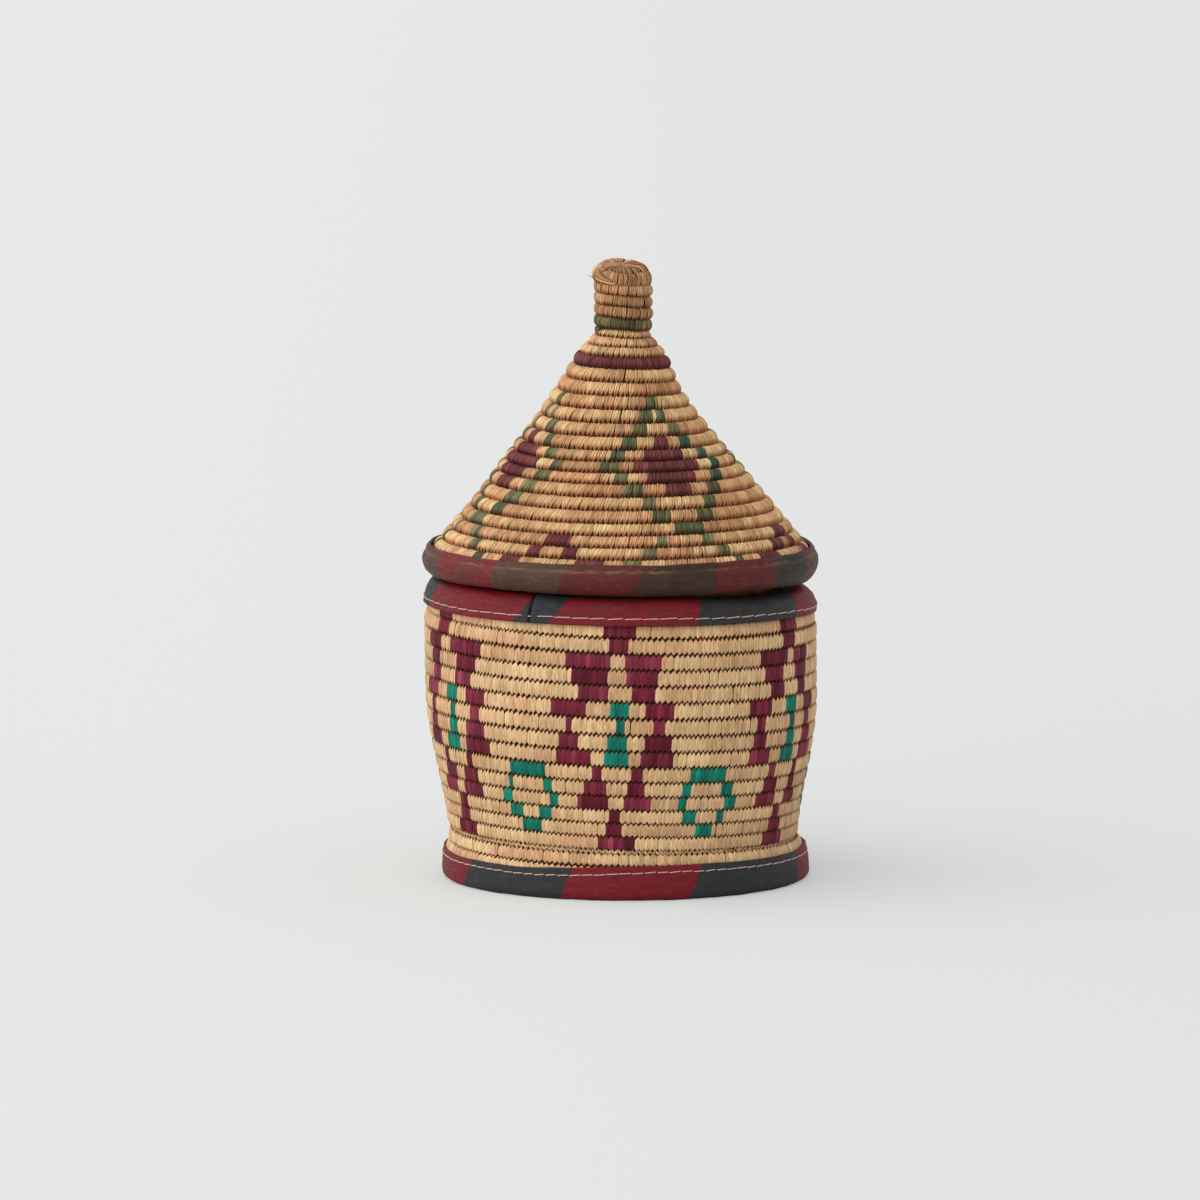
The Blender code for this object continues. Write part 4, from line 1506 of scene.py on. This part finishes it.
def lid_section():
    lean = math.degrees(CONE_BASE_LEAN)
    rim = arc((LID_ROLL_RADIUS, LID_ROLL_HIGH), LID_ROLL_OUT, lean, -100, 20)
    low = LID_ROLL_HIGH - LID_ROLL_OUT
    rise = LID_BINDING_HIGH - rim[0][1]
    top = (rim[0][0] - rise * math.tan(CONE_BASE_LEAN), rim[0][1] + rise)
    return [top, *rim, (66.0, low + 0.4), (63.6, low + 2.4), (62.9, LID_ROLL_HIGH)]


MOUTH_STRIP_LENGTH = Profile(mouth_section()).length

# %% How each strip runs
# how far the mouth strip's lower edge is drawn up
MOUTH_EDGE = {
    -180: 2.0, -75: 2.1, -45: 1.95, -15: 2.5, 15: 2.5, 45: 2.1, 60: 1.6, 75: 0.9, 110: 0.8, 180: 2.0
}
# how much its roll stands up where the lid hasn't squeezed it
MOUTH_RISE = {-180: 2.6, -90: 2.8, -10: 2.8, 20: 2.6, 33: 1.6, 45: 0.6, 60: 0.4, 110: 0, 180: 2.6}
FOOT_EDGE = {-180: -0.6, -60: 0.6, -35: 0.5, -14: -0.8, 0: -1.4, 20: -2.0, 45: -1.8, 80: -1.8, 180: -0.6}
# how far the lid's strip hangs down
LID_DROP = {-180: 1.0, -90: 1.2, -45: 0, 0: 0.3, 25: 0.9, 45: 0.9, 62: 1.6, 90: 3.4, 180: 1.0}
HEM_WIDE = 2.1
HEM_HIGH = 0.55
CREASE_DEEP = 0.3


def by_angle(angles, known):
    """Values at angles from the front, given at some angles between the back and the back."""
    return np.interp((angles + 180) % TURN - 180, list(known), list(known.values()))


def mouth_edge(angles):
    return by_angle(angles, MOUTH_EDGE) + 0.12 * ripple(angles, 41)


def mouth_rise(s, angles):
    share = smooth_step((s - 2.5) / 8) * smooth_step((MOUTH_STRIP_LENGTH - s) / 9)
    return by_angle(angles, MOUTH_RISE) * share


def foot_edge(angles):
    return by_angle(angles, FOOT_EDGE) + 0.15 * ripple(angles, 42)


def lid_edge(angles):
    return 0.22 * ripple(angles, 43)


def lid_hem(s, angles):
    """The hem turned over along the top of the lid's strip, with a crease under it."""
    past = s - HEM_WIDE - 0.35 * ripple(angles, 44)
    return HEM_HIGH * (1 - smooth_step(past / 0.7)) - CREASE_DEEP * np.exp(-(((past - 0.9) / 0.5) ** 2))


def lid_rise(s, angles):
    """The lid's strip hangs lower at the right and a little lower at the left than at the front."""
    return -by_angle(angles, LID_DROP) * smooth_step((s - 8) / 9)


# %% The three strips
mouth_strip = Binding(
    "mouth_strip", mouth_section(), 1, MOUTH_PATCHES, -27.0, basket_settle, 51, mouth_edge, rise=mouth_rise
)
foot_strip = Binding("foot_strip", foot_section(), -1, FOOT_PATCHES, 166.0, basket_settle, 52, foot_edge)
lid_strip = Binding(
    "lid_strip", lid_section(), -1, LID_PATCHES, 172.0, lid_settle, 53, lid_edge, lid_hem, lid_rise
)

# %% [markdown]
# Leather finish
#
# The dye is uneven, rubbed thin in streaks and brown with grime in patches. The streaks are noise
# stretched along the strip, because hands rub it that way. Age gives it a low sheen with fine grain.
# On the lid the colour is nearly gone and the hem's crease has worn to a golden line.

# %% Leather finishes
UNEVEN_DYE = (0.8, 0.78, 0.78), (1.18, 1.16, 1.15)
GRIME = linear(74, 52, 42)
SCUFFED = linear(176, 134, 112)
RUBBED_CREASE = linear(150, 104, 66)
CREASE_AT = 3.0  # from the strip's shown edge


def leather_finish(name, wear, grime, creased):
    nodes = Nodes(name)
    reach, turn = nodes.attribute("reach"), nodes.attribute("turn")
    brushed = nodes.noise(nodes.combine(nodes.times(turn, 0.35), reach, 0.0), 0.9, 4.0, 0.6)
    cloud = nodes.noise(nodes.place(), 0.07)
    grain = nodes.noise(nodes.place(), 1.9)
    fine = nodes.cells(nodes.place(), 2.4)
    rubbed = nodes.mix(nodes.span(brushed, 0.28, 0.72), *UNEVEN_DYE)
    colour = nodes.tint(nodes.attribute("dye", "Color"), rubbed)
    colour = nodes.mix(nodes.times(nodes.span(cloud, 0.45, 0.7), grime), colour, GRIME)
    crest = nodes.span(nodes.plus(brushed, nodes.times(grain, 0.35)), 0.72, 0.95)
    colour = nodes.mix(nodes.times(crest, wear), colour, SCUFFED)
    if creased:
        stray = nodes.times(nodes.plus(brushed, -0.5), 5.0)
        line = nodes.span(nodes.plus(nodes.away(reach, CREASE_AT), stray), 0.9, 0.0)
        colour = nodes.mix(nodes.times(line, nodes.span(cloud, 0.4, 0.62, 0.1, 0.6)), colour, RUBBED_CREASE)
    nodes.paint(colour, nodes.span(brushed, 0.25, 0.75, 0.6, 0.45), 0.22)
    nodes.bump(nodes.plus(nodes.times(fine, 0.35), nodes.plus(grain, brushed)), 0.22, 0.8)
    return nodes.material


bright_leather = leather_finish("bright_leather", 0.05, 0.2, False)
worn_leather = leather_finish("worn_leather", 0.14, 0.7, True)
print("finishes:", bright_leather.name, worn_leather.name)

# %% [markdown]
# Thread
#
# A running stitch holds each strip down. One sees the outer half of each stitch: a bit of twisted
# cotton that comes out of one hole and goes into the next. It is a bent rod of a few dozen faces.

# %% Thread stitches
THREAD_RADIUS = 0.24
THREAD_STEPS = 9
THREAD_SIDES = 6
THREAD_DIP = 0.45  # how far the ends of a stitch dip into their holes
THREAD_LIFT = 0.12
THREAD_ROUGHNESS = 0.1 * MM
THREAD_OVERLAP = 1.03
# how far each thread runs in from its strip's shown edge
MOUTH_INSET = {-180: 3.5, -45: 3.4, 0: 4.2, 15: 4.2, 35: 3.6, 60: 3.4, 80: 2.4, 110: 3.0, 180: 3.5}
FOOT_INSET = {-180: 2.2, -60: 2.4, -15: 2.8, 10: 2.2, 180: 2.2}


def thread_mesh(name, length):
    """A bent rod along X whose ends dip inwards, with closed round ends."""
    points = []
    for t in np.linspace(-1, 1, THREAD_STEPS):
        radius = THREAD_RADIUS * math.sqrt(max(1 - t**8, 0.1))
        for turn in 2 * math.pi * np.arange(THREAD_SIDES) / THREAD_SIDES:
            out = radius * math.cos(turn) - THREAD_DIP * t**8
            points.append((t * length / 2, out, radius * math.sin(turn)))
    rod = to_mesh_object(name, points, tube_faces(THREAD_STEPS, THREAD_SIDES))
    bpy.context.scene.collection.objects.unlink(rod)
    return rod


def thread_finish():
    nodes = Nodes("cream_thread")
    twist = nodes.noise(nodes.place(), 2.6, 2.0)
    nodes.paint(nodes.mix(nodes.span(twist, 0.3, 0.7), linear(190, 150, 138), linear(224, 196, 182)), 0.7)
    nodes.bump(twist, 0.2)
    return nodes.material


def stitch_down(name, strip, insets, spacing, seed):
    """Running stitches along a strip."""
    count = round(2 * math.pi * strip.line.points[0, 0] / spacing)
    angles = strip.seam + np.arange(count) * TURN / count
    inset = by_angle(angles, insets) + 0.12 * ripple(angles, seed)
    step = 0.3
    here, after, before, inner = (
        strip.surface(inset + further, angles + aside, THREAD_LIFT)
        for further, aside in ((0, 0), (0, step), (0, -step), (step, 0))
    )
    run = unit(after - before)
    out = unit(np.cross(unit(inner - here), run))
    radial = around(np.array([[1.0, 0.0]]).repeat(count, 0), angles)
    flip = np.sign((out * radial).sum(-1))[:, None]
    run, out = run * flip, out * flip
    places = to_mesh_object(name + "_places", here)
    ones = dict.fromkeys(("width", "height", "depth"), np.ones(count))
    put_attributes(places.data, run=run, ahead=np.cross(run, out), **ones)
    rod = thread_mesh(name + "_rod", spacing * THREAD_OVERLAP)
    settings = {"Stitch": rod, "Unevenness": 0.06, "Slant": 0.05, "Roughness": THREAD_ROUGHNESS}
    return run_sewing(name, places, cream_thread, **settings, Seed=seed)


# %% Bind the edges
cream_thread = thread_finish()
basket_pieces += [
    (mouth_strip.build(bright_leather), "bright_leather", ("mouth_binding",)),
    (foot_strip.build(bright_leather), "bright_leather", ("foot_binding",)),
    (stitch_down("mouth_stitching", mouth_strip, MOUTH_INSET, 7.0, 61), "thread", ("mouth_thread",)),
    (stitch_down("foot_stitching", foot_strip, FOOT_INSET, 5.0, 62), "thread", ("foot_thread",)),
]
lid_pieces.append((lid_strip.build(worn_leather), "worn_leather", ("lid_binding",)))

# %% Ride and replace
for body, pieces in (("basket", basket_pieces), ("lid", lid_pieces)):
    for piece, slot_name, nodes_replaced in pieces:
        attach(piece, body)
        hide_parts(*nodes_replaced)
